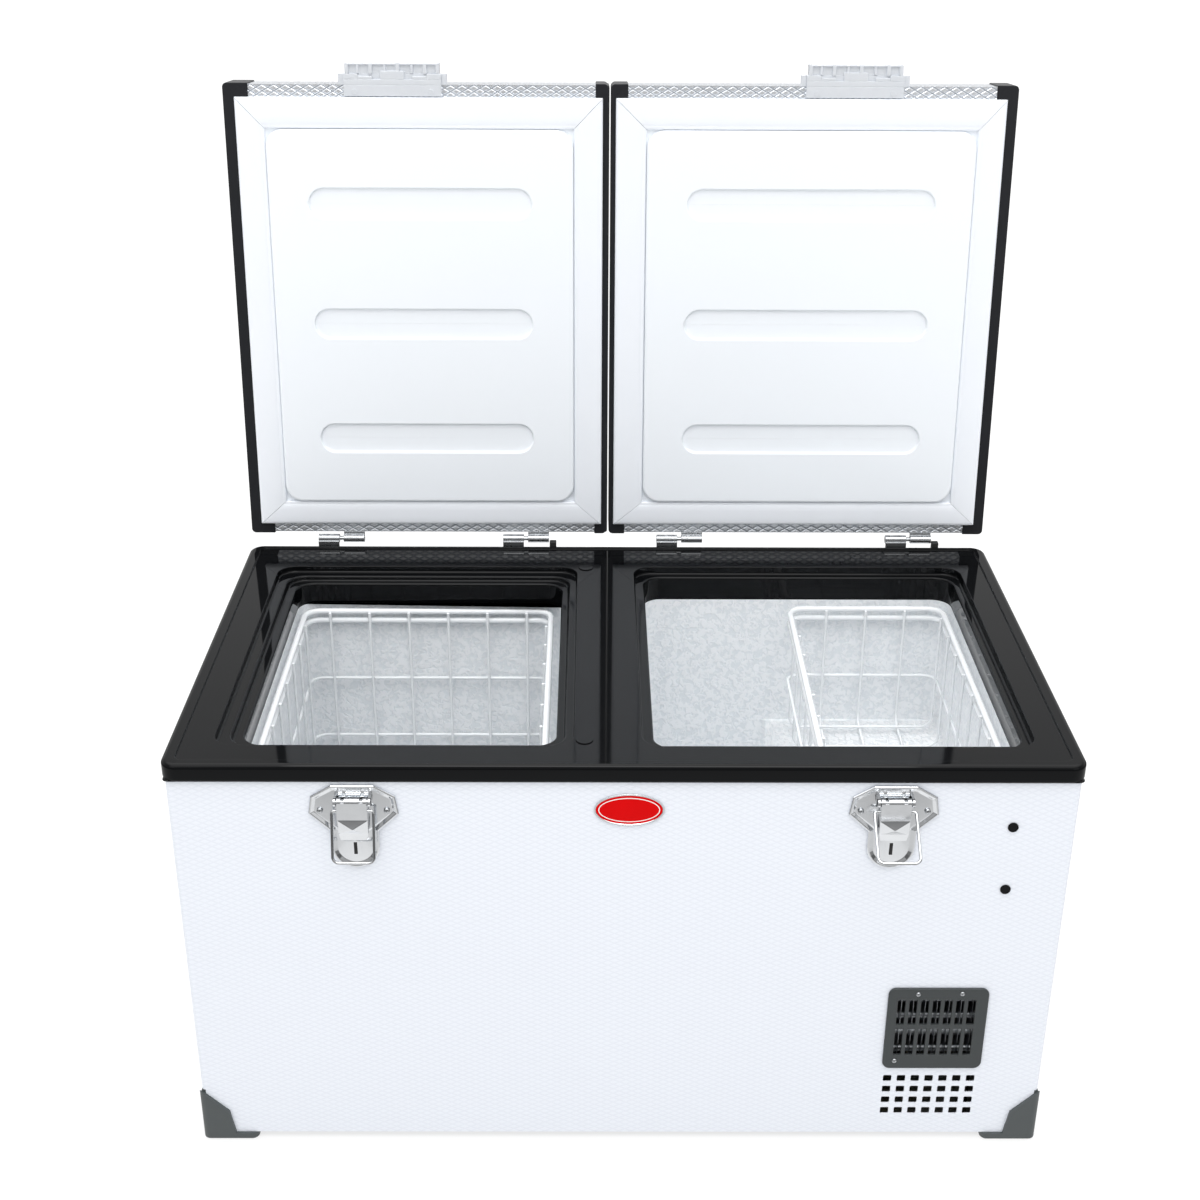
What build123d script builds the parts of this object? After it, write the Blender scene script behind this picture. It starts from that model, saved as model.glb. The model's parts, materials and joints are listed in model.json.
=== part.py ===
from build123d import *
import os

# Dual-zone portable compressor fridge. Millimetres, +X right, +Y back, +Z up.
# Heights are counted from the floor and depths from the middle of the cabinet; save() moves every
# node by BOX_SHIFT_Y so that the origin lies on the floor under the middle of the overall box.

# Overall sizes
RIM_W = 880.0              # moulded rim, outer width
RIM_D = 510.0              # moulded rim, outer depth
RIM_TOP = 460.0            # top of the rim above the floor
SKIRT = 19.0               # visible height of the rim's skirt
CAB_W = 872.0              # sheet cabinet, outer width
CAB_D = 502.0              # sheet cabinet, outer depth
CAB_BOTTOM = 8.0           # the feet hold the cabinet this far off the floor
SHEET = 1.0                # embossed sheet
CORNER_BEND = 4.0          # outer bend radius at the cabinet's vertical corners
BOX_SHIFT_Y = -27.128       # middle of the overall box relative to the cabinet's middle, negated

# Rim and openings: x0, x1, y0, y1 of each outline, from the top step down
PLATE = 4.0                # wall of the moulded rim
FIELD_Z = RIM_TOP - 2.0    # flat field inside the raised bead
THROAT_BOTTOM = 420.0      # where the rim ends and the metal liners begin
LEFT_STEPS = [
    (-397.0, -48.0, -213.0, 197.5, 450.6),
    (-384.0, -57.5, -200.0, 185.7, 444.9),
    (-373.0, -66.0, -190.0, 178.0, THROAT_BOTTOM),
]
RIGHT_STEPS = [
    (18.0, 400.0, -214.0, 198.0, 448.7),
    (30.0, 390.0, -201.0, 189.0, THROAT_BOTTOM),
]
STEP_RADIUS = 20.0

# Inside
LINER_T = 1.0
LINER_FLOOR = 53.0         # inside floor of both deep wells
STEP_X = 190.0             # the right tank's floor steps up over the machine bay from here
STEP_FLOOR = 258.0
BAY_X0 = 226.0             # machine bay, from here to the right side panel
BAY_TOP = 222.0
EVAPORATOR_T = 1.5

# Lids, given closed. They turn on pins behind the rim
LID_GAP = 6.0              # between the rim's bead and the lid's underside
LID_T = 45.0
LID_L = 521.0
LID_REAR = 255.5
LID_Z0 = RIM_TOP + LID_GAP
LID_Z1 = LID_Z0 + LID_T
LID_FRONT = LID_REAR - LID_L
LID_OPEN = 95.5            # opening angle in degrees
HINGE_Y = 262.0
HINGE_Z = 466.0
HINGE_W = 55.0
HINGE_XS = {"left": (-332.3, -110.3), "right": (74.4, 350.6)}
KNUCKLE_R = 5.0
PIN_R = 2.5
RUN = 0.05                 # radial clearance of a running fit
TRIM_T = 1.5               # plastic edge trims cover the skin by this much
# outer edges, gasket edges, raised panel edges and corner wraps of each lid, in x
LIDS = {
    "left": dict(x=(-440.0, -14.0), gasket=(-427.0, -20.0), panel=(-395.0, -52.7), groove=(-350.0, -100.0),
                 wrap=(28.0, 14.0)),
    "right": dict(x=(-11.0, 440.0), gasket=(-5.5, 427.5), panel=(29.4, 397.0), groove=(75.5, 354.5),
                  wrap=(19.0, 24.0)),
}
GASKET_S = (13.0, 506.0)   # along the lid, from its rear edge
PANEL_S = (41.5, 472.0)
GROOVE_S = (119.5, 255.0, 391.0)
GROOVE_H = 34.0
PANEL_RELIEF = 7.0
GASKET_T = 5.7             # as squeezed on the rim's bead when the lid is shut

# Front hardware
FRONT = -CAB_D / 2
LATCH_X = 258.5
LEVER_Z = 422.0            # lever pivot
LEVER_Y = FRONT - 8.0
BAIL_DROP = 10.0           # bail pivot below the lever pivot
BAIL_L = 52.0
BAIL_HALF = 20.0
BAIL_WIRE = 1.5            # wire radius
BAIL_TILT = {"left": 15.0, "right": 55.0}
CATCH_X = {"left": -252.0, "right": 258.5}
GRILLE_X = 321.0
GRILLE_Z = 146.7
GRILLE = 102.0
PLUG_X = 374.8
PLUG_ZS = (390.0, 318.0)

# Right side hardware
SIDE = CAB_W / 2
PANEL_Y = -150.0           # control panel centre
PANEL_Z = 360.0
BUTTONS = {"power": -45.0, "mode": -27.0, "up": 29.0, "down": 47.0}
SOCKET_Y = -175.0
SOCKET_Z = 90.0
VENT_Y = 60.0
VENT_Z = 120.0
HANDLE_Z = 345.0
HANDLE_Y = 40.0            # the carry handles sit at the fridge's balance point
HANDLE_OUT = 10.0          # pivot distance from the side sheet
HANDLE_HALF = 58.0
HANDLE_DROP = 62.0
ROD = 4.0                  # handle rod radius

# Baskets: x0, x1, y0, y1, z0, z1 outside
BASKETS = {
    "left": (-369.0, -75.0, -186.0, 174.0, 58.0, 416.0),
    "right": (198.0, 385.0, -195.0, 183.0, 262.0, 416.0),
}
BASKET_WALL = 5.0          # depth of a welded grid of two wire layers

# Machine bay
FAN_Y = -200.0
FAN = 116.0
COMP_Y = 30.0
COMP_X = 330.0


def block(x0, x1, y0, y1, z0, z1):
    """A box between two corners."""
    size = Box(x1 - x0, y1 - y0, z1 - z0, align=(Align.MIN, Align.MIN, Align.MIN))
    return Pos(x0, y0, z0) * size


def upright(x0, x1, y0, y1, z0, z1, r):
    """A box whose vertical edges are rounded."""
    plan = Pos((x0 + x1) / 2, (y0 + y1) / 2, z0) * RectangleRounded(x1 - x0, y1 - y0, r)
    return extrude(plan, z1 - z0, dir=(0, 0, 1))


def front_plate(x0, x1, z0, z1, y, t, r):
    """A plate with rounded corners that lies in a front face and reaches t forward of y."""
    plan = Plane(((x0 + x1) / 2, y, (z0 + z1) / 2), x_dir=(1, 0, 0), z_dir=(0, -1, 0))
    return extrude(plan * RectangleRounded(x1 - x0, z1 - z0, r), t)


def side_plate(y0, y1, z0, z1, x, t, r):
    """A plate with rounded corners that lies in the right side and reaches t outwards of x."""
    plan = Plane((x, (y0 + y1) / 2, (z0 + z1) / 2), x_dir=(0, 1, 0), z_dir=(1, 0, 0))
    return extrude(plan * RectangleRounded(y1 - y0, z1 - z0, r), t)


def rod_x(x0, x1, y, z, r):
    """A cylinder along X."""
    return Plane((x0, y, z), x_dir=(0, 1, 0), z_dir=(1, 0, 0)) * extrude(Circle(r), x1 - x0)


def rod_y(x, y0, y1, z, r):
    """A cylinder along Y."""
    return Plane((x, y0, z), x_dir=(1, 0, 0), z_dir=(0, 1, 0)) * extrude(Circle(r), y1 - y0)


def rod_z(x, y, z0, z1, r):
    """A cylinder along Z."""
    return Pos(x, y, z0) * extrude(Circle(r), z1 - z0)


def wire(points, radii, r):
    """A round wire along straight runs joined by arcs."""
    path = FilletPolyline(*points, radius=radii)
    start = Plane(origin=path @ 0, z_dir=path % 0)
    return sweep(start * Circle(r), path=path)


def save(name, *solids):
    """Writes one node, moved so that the origin is under the middle of the overall box."""
    moved = []
    for shape in solids:
        for solid in shape.solids():
            moved.append(Pos(0, BOX_SHIFT_Y, 0) * solid)
    out = moved[0] if len(moved) == 1 else Compound(children=moved)
    export_step(out, f"parts/{name}.step")


def screw_y(x, y, z, r, facing=-1):
    """A pan head on a front or rear face, with a short shank kept out of the sheet behind it."""
    head = rod_y(x, min(y, y + facing * 1.6), max(y, y + facing * 1.6), z, r)
    slot = block(x - r * 0.6, x + r * 0.6, y + facing * 1.6 - 0.5, y + facing * 1.6 + 0.5, z - 0.4, z + 0.4)
    return head - slot


def screw_x(x, y, z, r):
    """A pan head on the right side face."""
    head = rod_x(x, x + 1.6, y, z, r)
    return head - block(x + 1.1, x + 2.1, y - r * 0.6, y + r * 0.6, z - 0.4, z + 0.4)


# Cabinet -------------------------------------------------------------------------------------------

def cabinet_tube():
    """The four cabinet walls as one rounded rectangular tube, cut into panels later."""
    w, d = CAB_W / 2, CAB_D / 2
    top = RIM_TOP - PLATE - 4
    outer = upright(-w, w, -d, d, CAB_BOTTOM, top, CORNER_BEND)
    inner = upright(-w + SHEET, w - SHEET, -d + SHEET, d - SHEET, CAB_BOTTOM, top, CORNER_BEND - SHEET)
    return outer - inner


def perforations():
    """The field of small square holes below the vent grille."""
    holes = []
    for row in range(4):
        for column in range(7):
            x = 277.0 + 14.4 * column
            z = 80.5 - 14.3 * row
            holes.append(front_plate(x - 4.4, x + 4.4, z - 4.1, z + 4.1, FRONT + 3, 6, 1.4))
    return holes


def front_panel(tube):
    """Front sheet with its two folded returns, vent opening, perforations and plug holes."""
    panel = tube & block(-500, 500, FRONT - 1, FRONT + 14, 0, 500)
    panel -= front_plate(GRILLE_X - 44, GRILLE_X + 44, GRILLE_Z - 43, GRILLE_Z + 43, FRONT + 3, 6, 4)
    for hole in perforations():
        panel -= hole
    for z in PLUG_ZS:
        panel -= rod_y(PLUG_X, FRONT - 1, FRONT + 3, z, 4)
    return panel


def rear_panel(tube):
    """Rear sheet with its two folded returns and a row of ventilation slots behind the machine bay."""
    panel = tube & block(-500, 500, -FRONT - 14, -FRONT + 1, 0, 500)
    for row in range(6):
        for column in range(3):
            x = 270.0 + 56.0 * column
            z = 60.0 + 16.0 * row
            panel -= block(x - 20, x + 20, -FRONT - 3, -FRONT + 3, z - 2.5, z + 2.5)
    return panel


def side_panels(tube):
    """Plain left sheet and right sheet with cut-outs for the controls, sockets and side vent."""
    middle = tube & block(-500, 500, FRONT + 14, -FRONT - 14, 0, 500)
    left = middle & block(-500, 0, -300, 300, 0, 500)
    right = middle & block(0, 500, -300, 300, 0, 500)
    right -= block(SIDE - 3, SIDE + 3, PANEL_Y - 60, PANEL_Y + 60, PANEL_Z - 30, PANEL_Z + 30)
    right -= block(SIDE - 3, SIDE + 3, SOCKET_Y - 32, SOCKET_Y + 32, SOCKET_Z - 15, SOCKET_Z + 15)
    right -= block(SIDE - 3, SIDE + 3, VENT_Y - 70, VENT_Y + 70, VENT_Z - 55, VENT_Z + 55)
    return [left, right]


def base_pan():
    """Bottom sheet inside the four walls."""
    x, y = CAB_W / 2 - SHEET, CAB_D / 2 - SHEET
    return upright(-x, x, -y, y, CAB_BOTTOM, CAB_BOTTOM + 1.5, CORNER_BEND - SHEET)


def left_tank(grow, top):
    """The left compartment's block, grown by a wall thickness."""
    x0, x1, y0, y1, _ = LEFT_STEPS[-1]
    r = STEP_RADIUS + grow
    return upright(x0 - grow, x1 + grow, y0 - grow, y1 + grow, LINER_FLOOR - grow, top, r)


def right_tank(grow, top):
    """The right compartment's block: a deep well and a shallow part over the machine bay."""
    x0, x1, y0, y1, _ = RIGHT_STEPS[-1]
    r = STEP_RADIUS + grow
    well = upright(x0 - grow, STEP_X + grow, y0 - grow, y1 + grow, LINER_FLOOR - grow, top, r)
    shelf = upright(x0 - grow, x1 + grow, y0 - grow, y1 + grow, STEP_FLOOR - grow, top, r)
    return well + shelf


def liner(tank):
    """Folded metal tank, open at the top."""
    return tank(LINER_T, THROAT_BOTTOM) - tank(0, THROAT_BOTTOM + 5)


def evaporators():
    """A roll-bond sheet wrapped round each tank, buried in the foam."""
    bands = []
    for tank, z0, z1 in ((left_tank, 120, 330), (right_tank, 280, 390)):
        band = tank(LINER_T + EVAPORATOR_T, 500) - tank(LINER_T, 501)
        bands.append(band & block(-500, 500, -300, 300, z0, z1))
    return bands


def foam_slabs():
    """Corners of the butted foam slabs that leave both tanks and the machine bay free."""
    x, y = CAB_W / 2 - SHEET, CAB_D / 2 - SHEET
    low, high = CAB_BOTTOM + 1.5, RIM_TOP - PLATE - 2
    floor = LINER_FLOOR - LINER_T
    shelf = STEP_FLOOR - LINER_T
    left_x0, left_x1, left_y0, left_y1, _ = LEFT_STEPS[-1]
    right_x0, right_x1, right_y0, right_y1, _ = RIGHT_STEPS[-1]
    middle = (left_x1 + right_x0) / 2
    step = STEP_X + LINER_T
    left = (left_x0 - LINER_T, left_x1 + LINER_T, left_y0 - LINER_T, left_y1 + LINER_T)
    right = (right_x0 - LINER_T, right_x1 + LINER_T, right_y0 - LINER_T, right_y1 + LINER_T)
    slabs = [(-x, BAY_X0, -y, y, low, floor)]
    for x0, x1, tank, z0 in ((-x, middle, left, floor), (middle, BAY_X0, right, floor), (BAY_X0, x, right, BAY_TOP)):
        slabs.append((x0, x1, -y, tank[2], z0, high))
        slabs.append((x0, x1, tank[3], y, z0, high))
    slabs.append((-x, left[0], left[2], left[3], floor, high))
    slabs.append((left[1], middle, left[2], left[3], floor, high))
    slabs.append((middle, right[0], right[2], right[3], floor, high))
    slabs.append((right[1], x, right[2], right[3], BAY_TOP, high))
    slabs.append((step, BAY_X0, right[2], right[3], floor, shelf))
    slabs.append((BAY_X0, right[1], right[2], right[3], BAY_TOP, shelf))
    return slabs


def insulation_foam(funnels, bands):
    """Insulation slabs, cut back for the rim's throats, the evaporators and the control tray."""
    x, y = CAB_W / 2 - SHEET, CAB_D / 2 - SHEET
    inside = upright(-x, x, -y, y, 0, RIM_TOP, CORNER_BEND - SHEET)
    tray = block(SIDE - 22, 500, PANEL_Y - 62, PANEL_Y + 62, PANEL_Z - 32, PANEL_Z + 32)
    foam = []
    for corners in foam_slabs():
        slab = block(*corners) & inside
        for part in list(funnels) + list(bands) + [tray]:
            slab = slab - part
        foam.append(slab)
    return foam


# Rim -----------------------------------------------------------------------------------------------

def funnel(steps, wall):
    """The stepped throat under an opening, as a solid stack grown by its wall."""
    stack = None
    for x0, x1, y0, y1, z in steps:
        grown = upright(x0 - wall, x1 + wall, y0 - wall, y1 + wall, max(z - wall, THROAT_BOTTOM),
                        RIM_TOP - 3, STEP_RADIUS + wall)
        stack = grown if stack is None else stack + grown
    return stack


def rim_collar():
    """Moulded rim: raised bead, flat field, skirt over the cabinet and two stepped throats."""
    w, d = RIM_W / 2, RIM_D / 2
    rim = upright(-w, w, -d, d, RIM_TOP - SKIRT, RIM_TOP, 16)
    rim = fillet(rim.faces().sort_by(Axis.Z)[-1].edges(), 5)
    cw, cd = CAB_W / 2, CAB_D / 2
    rim -= upright(-cw, cw, -cd, cd, RIM_TOP - SKIRT - 1, RIM_TOP - PLATE - 2, CORNER_BEND)
    rim -= upright(-w + 13, w - 13, -d + 11, d - 7.5, FIELD_Z, RIM_TOP + 1, 8)
    for steps in (LEFT_STEPS, RIGHT_STEPS):
        rim += funnel(steps, 3.0)
        for x0, x1, y0, y1, z in steps:
            rim -= upright(x0, x1, y0, y1, z, RIM_TOP + 1, STEP_RADIUS)
    return rim


def cover_caps():
    """Two screw covers on the rim's middle bar and two plugs in the front sheet."""
    caps = []
    for y in (-203.0, 196.0):
        caps.append(rod_z(-38.0, y, FIELD_Z, FIELD_Z + 1.0, 8.5))
    for z in PLUG_ZS:
        head = rod_y(PLUG_X, FRONT - 1.4, FRONT, z, 5.2)
        caps.append(head + rod_y(PLUG_X, FRONT, FRONT + SHEET, z, 4))
    return caps


def corner_guard(sx, sy):
    """Moulded guard round one bottom corner, with the foot it stands on."""
    w, d = CAB_W / 2, CAB_D / 2
    wall = 3.0
    reach = 32.0
    foot = 55.0
    high = 56.5
    cup = block(w - reach, w + wall, d - reach, d + wall, CAB_BOTTOM, CAB_BOTTOM + high)
    cup = fillet(cup.edges().filter_by(Axis.Z).sort_by(lambda e: e.center().X + e.center().Y)[-1], 7)
    # the guard's top slopes down from the corner to both sides: distance from the corner, height
    slope = Polyline((-1, high), (6, 53), (18, 41), (30, 29), (35, -0.5), (60, -0.5), (60, 90), (-1, 90), close=True)
    front_cut = Plane((w + wall, d, CAB_BOTTOM), x_dir=(-1, 0, 0), z_dir=(0, 1, 0)) * make_face(slope)
    side_cut = Plane((w + 20, d + wall, CAB_BOTTOM), x_dir=(0, -1, 0), z_dir=(-1, 0, 0)) * make_face(slope)
    cup -= extrude(front_cut, 20)
    cup -= extrude(side_cut, 20)
    cup -= upright(-w, w, -d, d, CAB_BOTTOM, 400, CORNER_BEND)
    pad = block(w - foot, w + wall, d - foot, d + wall, 0, CAB_BOTTOM)
    pad = fillet(pad.edges().filter_by(Axis.Z), 7)
    pad = chamfer(pad.faces().sort_by(Axis.Z)[0].edges(), 1.5)
    guard = cup + pad
    if sx < 0:
        guard = mirror(guard, about=Plane.YZ)
    if sy < 0:
        guard = mirror(guard, about=Plane.XZ)
    return guard


# Front hardware ------------------------------------------------------------------------------------

def vent_grille():
    """Front grille: two rows of upright slots in a plate with rounded corners."""
    half = GRILLE / 2
    y = FRONT
    plate = front_plate(GRILLE_X - half, GRILLE_X + half, GRILLE_Z - half, GRILLE_Z + half, y, 3.0, 8)
    plate = chamfer(plate.faces().sort_by(Axis.Y)[0].edges(), 0.8)
    for column in range(7):
        x = 284.0 + 11.9 * column
        for z0, z1 in ((152.5, 184.3), (113.5, 147.3)):
            plate -= front_plate(x - 3.9, x + 3.9, z0, z1, y + 1, 5, 1.5)
    return plate


def badge():
    """Plain oval badge plate with a raised inner oval."""
    at = Plane((5.0, FRONT, 409.5), x_dir=(1, 0, 0), z_dir=(0, -1, 0))
    plate = extrude(at * Ellipse(34.0, 18.0), 2.0)
    return chamfer(plate.faces().sort_by(Axis.Y)[0].edges(), 0.8)


def latch_base(x):
    """Latch backplate: wide shoulders, a column with a round end, two ears and a padlock slot."""
    outline = [(-20.5, 437.0), (-40.5, 424.8), (-43.5, 405.4), (-23.4, 386.0), (-23.4, 367.4)]
    right = [(-px, pz) for px, pz in reversed(outline)]
    edge = Polyline(*outline) + ThreePointArc(outline[-1], (0, 344.0), right[0]) + Polyline(*right)
    edge += Line(right[-1], outline[0])
    at = Plane((x, FRONT, 0), x_dir=(1, 0, 0), z_dir=(0, -1, 0))
    plate = extrude(at * make_face(edge), 3.0)
    plate = chamfer(plate.faces().sort_by(Axis.Y)[0].edges(), 1.2)
    for side in (-1, 1):
        x0, x1 = sorted((x + side * 15.3, x + side * 17.8))
        ear = block(x0, x1, LEVER_Y, FRONT - 2, LEVER_Z - 4.5, LEVER_Z + 4.5)
        plate += ear + rod_x(x0, x1, LEVER_Y, LEVER_Z, 4.5)
    plate -= rod_x(x - 20, x + 20, LEVER_Y, LEVER_Z, 2.0)
    plate -= front_plate(x - 1.6, x + 1.6, 360.0, 373.0, FRONT + 1, 6, 1.5)
    return plate


def latch_lever(x):
    """Over-centre lever: barrel, faceted grip and a cross hole for the bail."""
    front = LEVER_Y - 4.2
    back = LEVER_Y + 4.2
    grip = block(x - 14.5, x + 14.5, front, back, LEVER_Z - 41.5, LEVER_Z)
    grip = chamfer(grip.faces().sort_by(Axis.Y)[0].edges(), 3.2)
    lever = grip & block(x - 20, x + 20, front, back, 0, LEVER_Z)
    lever += rod_x(x - 14.5, x + 14.5, LEVER_Y, LEVER_Z, 4.2)
    lever -= rod_x(x - 20, x + 20, LEVER_Y, LEVER_Z, 2.0 + RUN)
    lever -= rod_x(x - 20, x + 20, LEVER_Y, LEVER_Z - BAIL_DROP, BAIL_WIRE + RUN)
    return lever


def latch_bail(x, tilt):
    """Wire loop whose turned-in ends pivot in the lever."""
    y, z = LEVER_Y, LEVER_Z - BAIL_DROP
    points = [(x - 8, y, z), (x - BAIL_HALF, y, z), (x - BAIL_HALF, y, z - BAIL_L), (x + BAIL_HALF, y, z - BAIL_L),
              (x + BAIL_HALF, y, z), (x + 8, y, z)]
    loop = wire(points, [2.5, 6, 6, 2.5], BAIL_WIRE)
    return loop.rotate(Axis((x, y, z), (1, 0, 0)), -tilt)


# Lids ----------------------------------------------------------------------------------------------

def to_open(shape):
    """Turns a lid piece from closed to its open rest place."""
    return shape.rotate(Axis((0, HINGE_Y, HINGE_Z), (1, 0, 0)), -LID_OPEN)


def along(s0, s1):
    """Front and rear limits of a stretch measured from the lid's rear edge."""
    return LID_REAR - s1, LID_REAR - s0


def lid_envelope(lid):
    """The skin's outer block, inside the edge trims."""
    x0, x1 = lid["x"]
    t = TRIM_T
    return block(x0 + 2, x1 - 2, LID_FRONT + t, LID_REAR - t, LID_Z0 + t, LID_Z1 - t)


def lid_skin(lid):
    """Embossed sheet folded down at front and rear, with flanges turned in under the lid."""
    x0, x1 = lid["x"]
    t = TRIM_T + SHEET
    skin = lid_envelope(lid) - block(x0, x1, LID_FRONT + t, LID_REAR - t, LID_Z0 + t, LID_Z1 - t)
    y0, y1 = along(*GASKET_S)
    return skin - block(x0, x1, y0, y1, LID_Z0 - 1, LID_Z0 + 20)


def groove(lid, s, z0, z1, grow):
    """One stadium-shaped stiffening groove of the inner panel."""
    x0, x1 = lid["groove"]
    y0, y1 = along(s - GROOVE_H / 2 - grow, s + GROOVE_H / 2 + grow)
    return upright(x0 - grow, x1 + grow, y0, y1, z0, z1, GROOVE_H / 2 + grow - 0.01)


def panel_pocket(lid):
    """The hollow behind the raised panel, which the lid's foam fills."""
    x0, x1 = lid["panel"]
    y0, y1 = along(*PANEL_S)
    pocket = upright(x0 + 2, x1 - 2, y0 + 2, y1 - 2, LID_Z0 - PANEL_RELIEF + 2, LID_Z0 + TRIM_T, 18)
    for s in GROOVE_S:
        pocket -= groove(lid, s, LID_Z0 - PANEL_RELIEF, LID_Z0 - PANEL_RELIEF + 5.5, 2)
    return pocket


def lid_panel(lid):
    """Vacuum-formed inner panel with a raised middle and three grooves."""
    x0, x1 = lid["gasket"]
    y0, y1 = along(*GASKET_S)
    panel = block(x0, x1, y0, y1, LID_Z0, LID_Z0 + TRIM_T)
    x0, x1 = lid["panel"]
    y0, y1 = along(*PANEL_S)
    raised = upright(x0, x1, y0, y1, LID_Z0 - PANEL_RELIEF, LID_Z0, 20)
    panel += fillet(raised.faces().sort_by(Axis.Z)[0].edges(), 3)
    for s in GROOVE_S:
        panel -= groove(lid, s, LID_Z0 - PANEL_RELIEF - 1, LID_Z0 - PANEL_RELIEF + 3.5, 0)
    return panel - panel_pocket(lid)


def lid_foam(lid):
    """Foam slab between the skin and the inner panel."""
    x0, x1 = lid["x"]
    t = TRIM_T + SHEET
    slab = block(x0 + 2, x1 - 2, LID_FRONT + t, LID_REAR - t, LID_Z0 + t, LID_Z1 - t)
    y0, y1 = along(*GASKET_S)
    g0, g1 = lid["gasket"]
    slab += block(g0, g1, y0, y1, LID_Z0 + TRIM_T, LID_Z0 + t)
    return slab + panel_pocket(lid)


def lid_gasket(lid):
    """Flat bulb seal, mitred at its corners, round the raised panel."""
    x0, x1 = lid["gasket"]
    y0, y1 = along(*GASKET_S)
    ring = upright(x0, x1, y0, y1, LID_Z0 - GASKET_T, LID_Z0, 3)
    px0, px1 = lid["panel"]
    py0, py1 = along(*PANEL_S)
    ring -= upright(px0 - 0.5, px1 + 0.5, py0 - 0.5, py1 + 0.5, LID_Z0 - 20, LID_Z0 + 1, 20.5)
    return fillet(ring.faces().sort_by(Axis.Z)[0].edges(), 1.5)


def lid_trims(lid):
    """Plastic channels over both side edges, wrapping round the lid's corners."""
    x0, x1 = lid["x"]
    core = lid_envelope(lid)
    g0, g1 = lid["gasket"]
    whole = upright(x0, x1, LID_FRONT, LID_REAR, LID_Z0, LID_Z1, 5)
    f0, f1 = GASKET_S
    trims = []
    for near, edge, wrap in ((x0, g0, lid["wrap"][0]), (x1, g1, lid["wrap"][1])):
        sign = 1 if near == x0 else -1
        side = block(*sorted((near, edge)), LID_FRONT, LID_REAR, LID_Z0, LID_Z1)
        front = block(*sorted((near, near + sign * wrap)), LID_FRONT, LID_REAR - f1, LID_Z0, LID_Z1)
        rear = block(*sorted((near, near + sign * wrap)), LID_REAR - f0, LID_REAR, LID_Z0, LID_Z1)
        trims.append((whole & (side + front + rear)) - core)
    return trims


def lid_catch(x):
    """Die-cast keeper: a plate under the front flange and an upturned lip for the latch bail."""
    y_in, y_lip, y_out = LID_REAR - 507.0, LID_REAR - 531.0, LID_REAR - 542.0
    z = LID_Z0 + TRIM_T
    plate = block(x - 54, x + 54, LID_FRONT + TRIM_T, y_in, z - 3.2, z)
    tongue = block(x - 60, x + 60, y_lip, LID_FRONT + TRIM_T, z - 3.2, z + 5)
    tongue += block(x - 52, x + 52, y_out, y_lip, z - 3.2, z + 1)
    tongue += block(x - 52, x + 52, y_out, y_out + 2.5, z - 3.2, z + 8)
    for rib in (-54, -27, 0, 27, 54):
        x0 = x + rib - 2 + (4 if rib < -50 else -4 if rib > 50 else 0)
        tongue += block(x0, x0 + 4, y_out, y_lip, z - 3.2, z + 6)
    for notch in (-22, 10):
        tongue -= block(x + notch, x + notch + 9, y_lip - 1, y_lip + 7, z - 4, z - 2)
    return plate + tongue


def lid_leaf(x):
    """Upper hinge leaf on the lid's rear edge, with the right-hand knuckle."""
    face = LID_REAR - TRIM_T
    half = HINGE_W / 2
    leaf = block(x - half, x + half, face, face + 2, LID_Z0 + 10, LID_Z1 - 8)
    leaf += block(x + 2.5, x + half, face, face + 2, LID_Z0 + 4, LID_Z0 + 12)
    leaf += block(x + 2.5, x + half, face, HINGE_Y - 1, HINGE_Z + 1.5, HINGE_Z + KNUCKLE_R - 0.8)
    leaf += rod_x(x + 2.5, x + half, HINGE_Y, HINGE_Z, KNUCKLE_R)
    return leaf - rod_x(x, x + half + 1, HINGE_Y, HINGE_Z, PIN_R + RUN)


def body_leaf(x):
    """Lower hinge leaf on the rim's rear skirt and the rear sheet, with the left-hand knuckle."""
    face = RIM_D / 2
    half = HINGE_W / 2
    leaf = block(x - half, x + half, face, face + 2, 415, 456)
    leaf += block(x - half, x + half, -FRONT, face + 2, 415, RIM_TOP - SKIRT)
    leaf += block(x - half, x - 2.5, face, face + 2, 450, HINGE_Z - 1.5)
    leaf += block(x - half, x - 2.5, face, HINGE_Y - 1, HINGE_Z - KNUCKLE_R + 0.8, HINGE_Z - 1.5)
    leaf += rod_x(x - half, x - 2.5, HINGE_Y, HINGE_Z, KNUCKLE_R)
    return leaf - rod_x(x - half - 1, x, HINGE_Y, HINGE_Z, PIN_R)


def lid_fasteners(side):
    """Screws of a lid's two upper leaves and the rivets of its catch."""
    fixings = []
    for x in HINGE_XS[side]:
        for dx in (-17, 17):
            fixings.append(screw_y(x + dx, LID_REAR - TRIM_T + 2, LID_Z0 + 26, 3.6, 1))
    for dx in (-42, 42):
        z = LID_Z0 + TRIM_T - 3.2
        fixings.append(rod_z(CATCH_X[side] + dx, LID_FRONT + 9, z - 0.9, z, 3.0))
    return fixings


# Side hardware -------------------------------------------------------------------------------------

def handle_bracket():
    """Right-hand handle plate with two ears."""
    plate = side_plate(HANDLE_Y - 78, HANDLE_Y + 78, HANDLE_Z - 20, HANDLE_Z + 18, SIDE, 2.5, 6)
    out = SIDE + HANDLE_OUT
    for side in (-1, 1):
        y0, y1 = sorted((HANDLE_Y + side * (HANDLE_HALF + 1), HANDLE_Y + side * (HANDLE_HALF + 7)))
        plate += block(SIDE + 1, out, y0, y1, HANDLE_Z - 8, HANDLE_Z + 8)
        plate += rod_y(out, y0, y1, HANDLE_Z, 8)
        plate -= rod_y(out, y0 - 1, y1 + 1, HANDLE_Z, ROD + RUN)
    return plate


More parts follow.
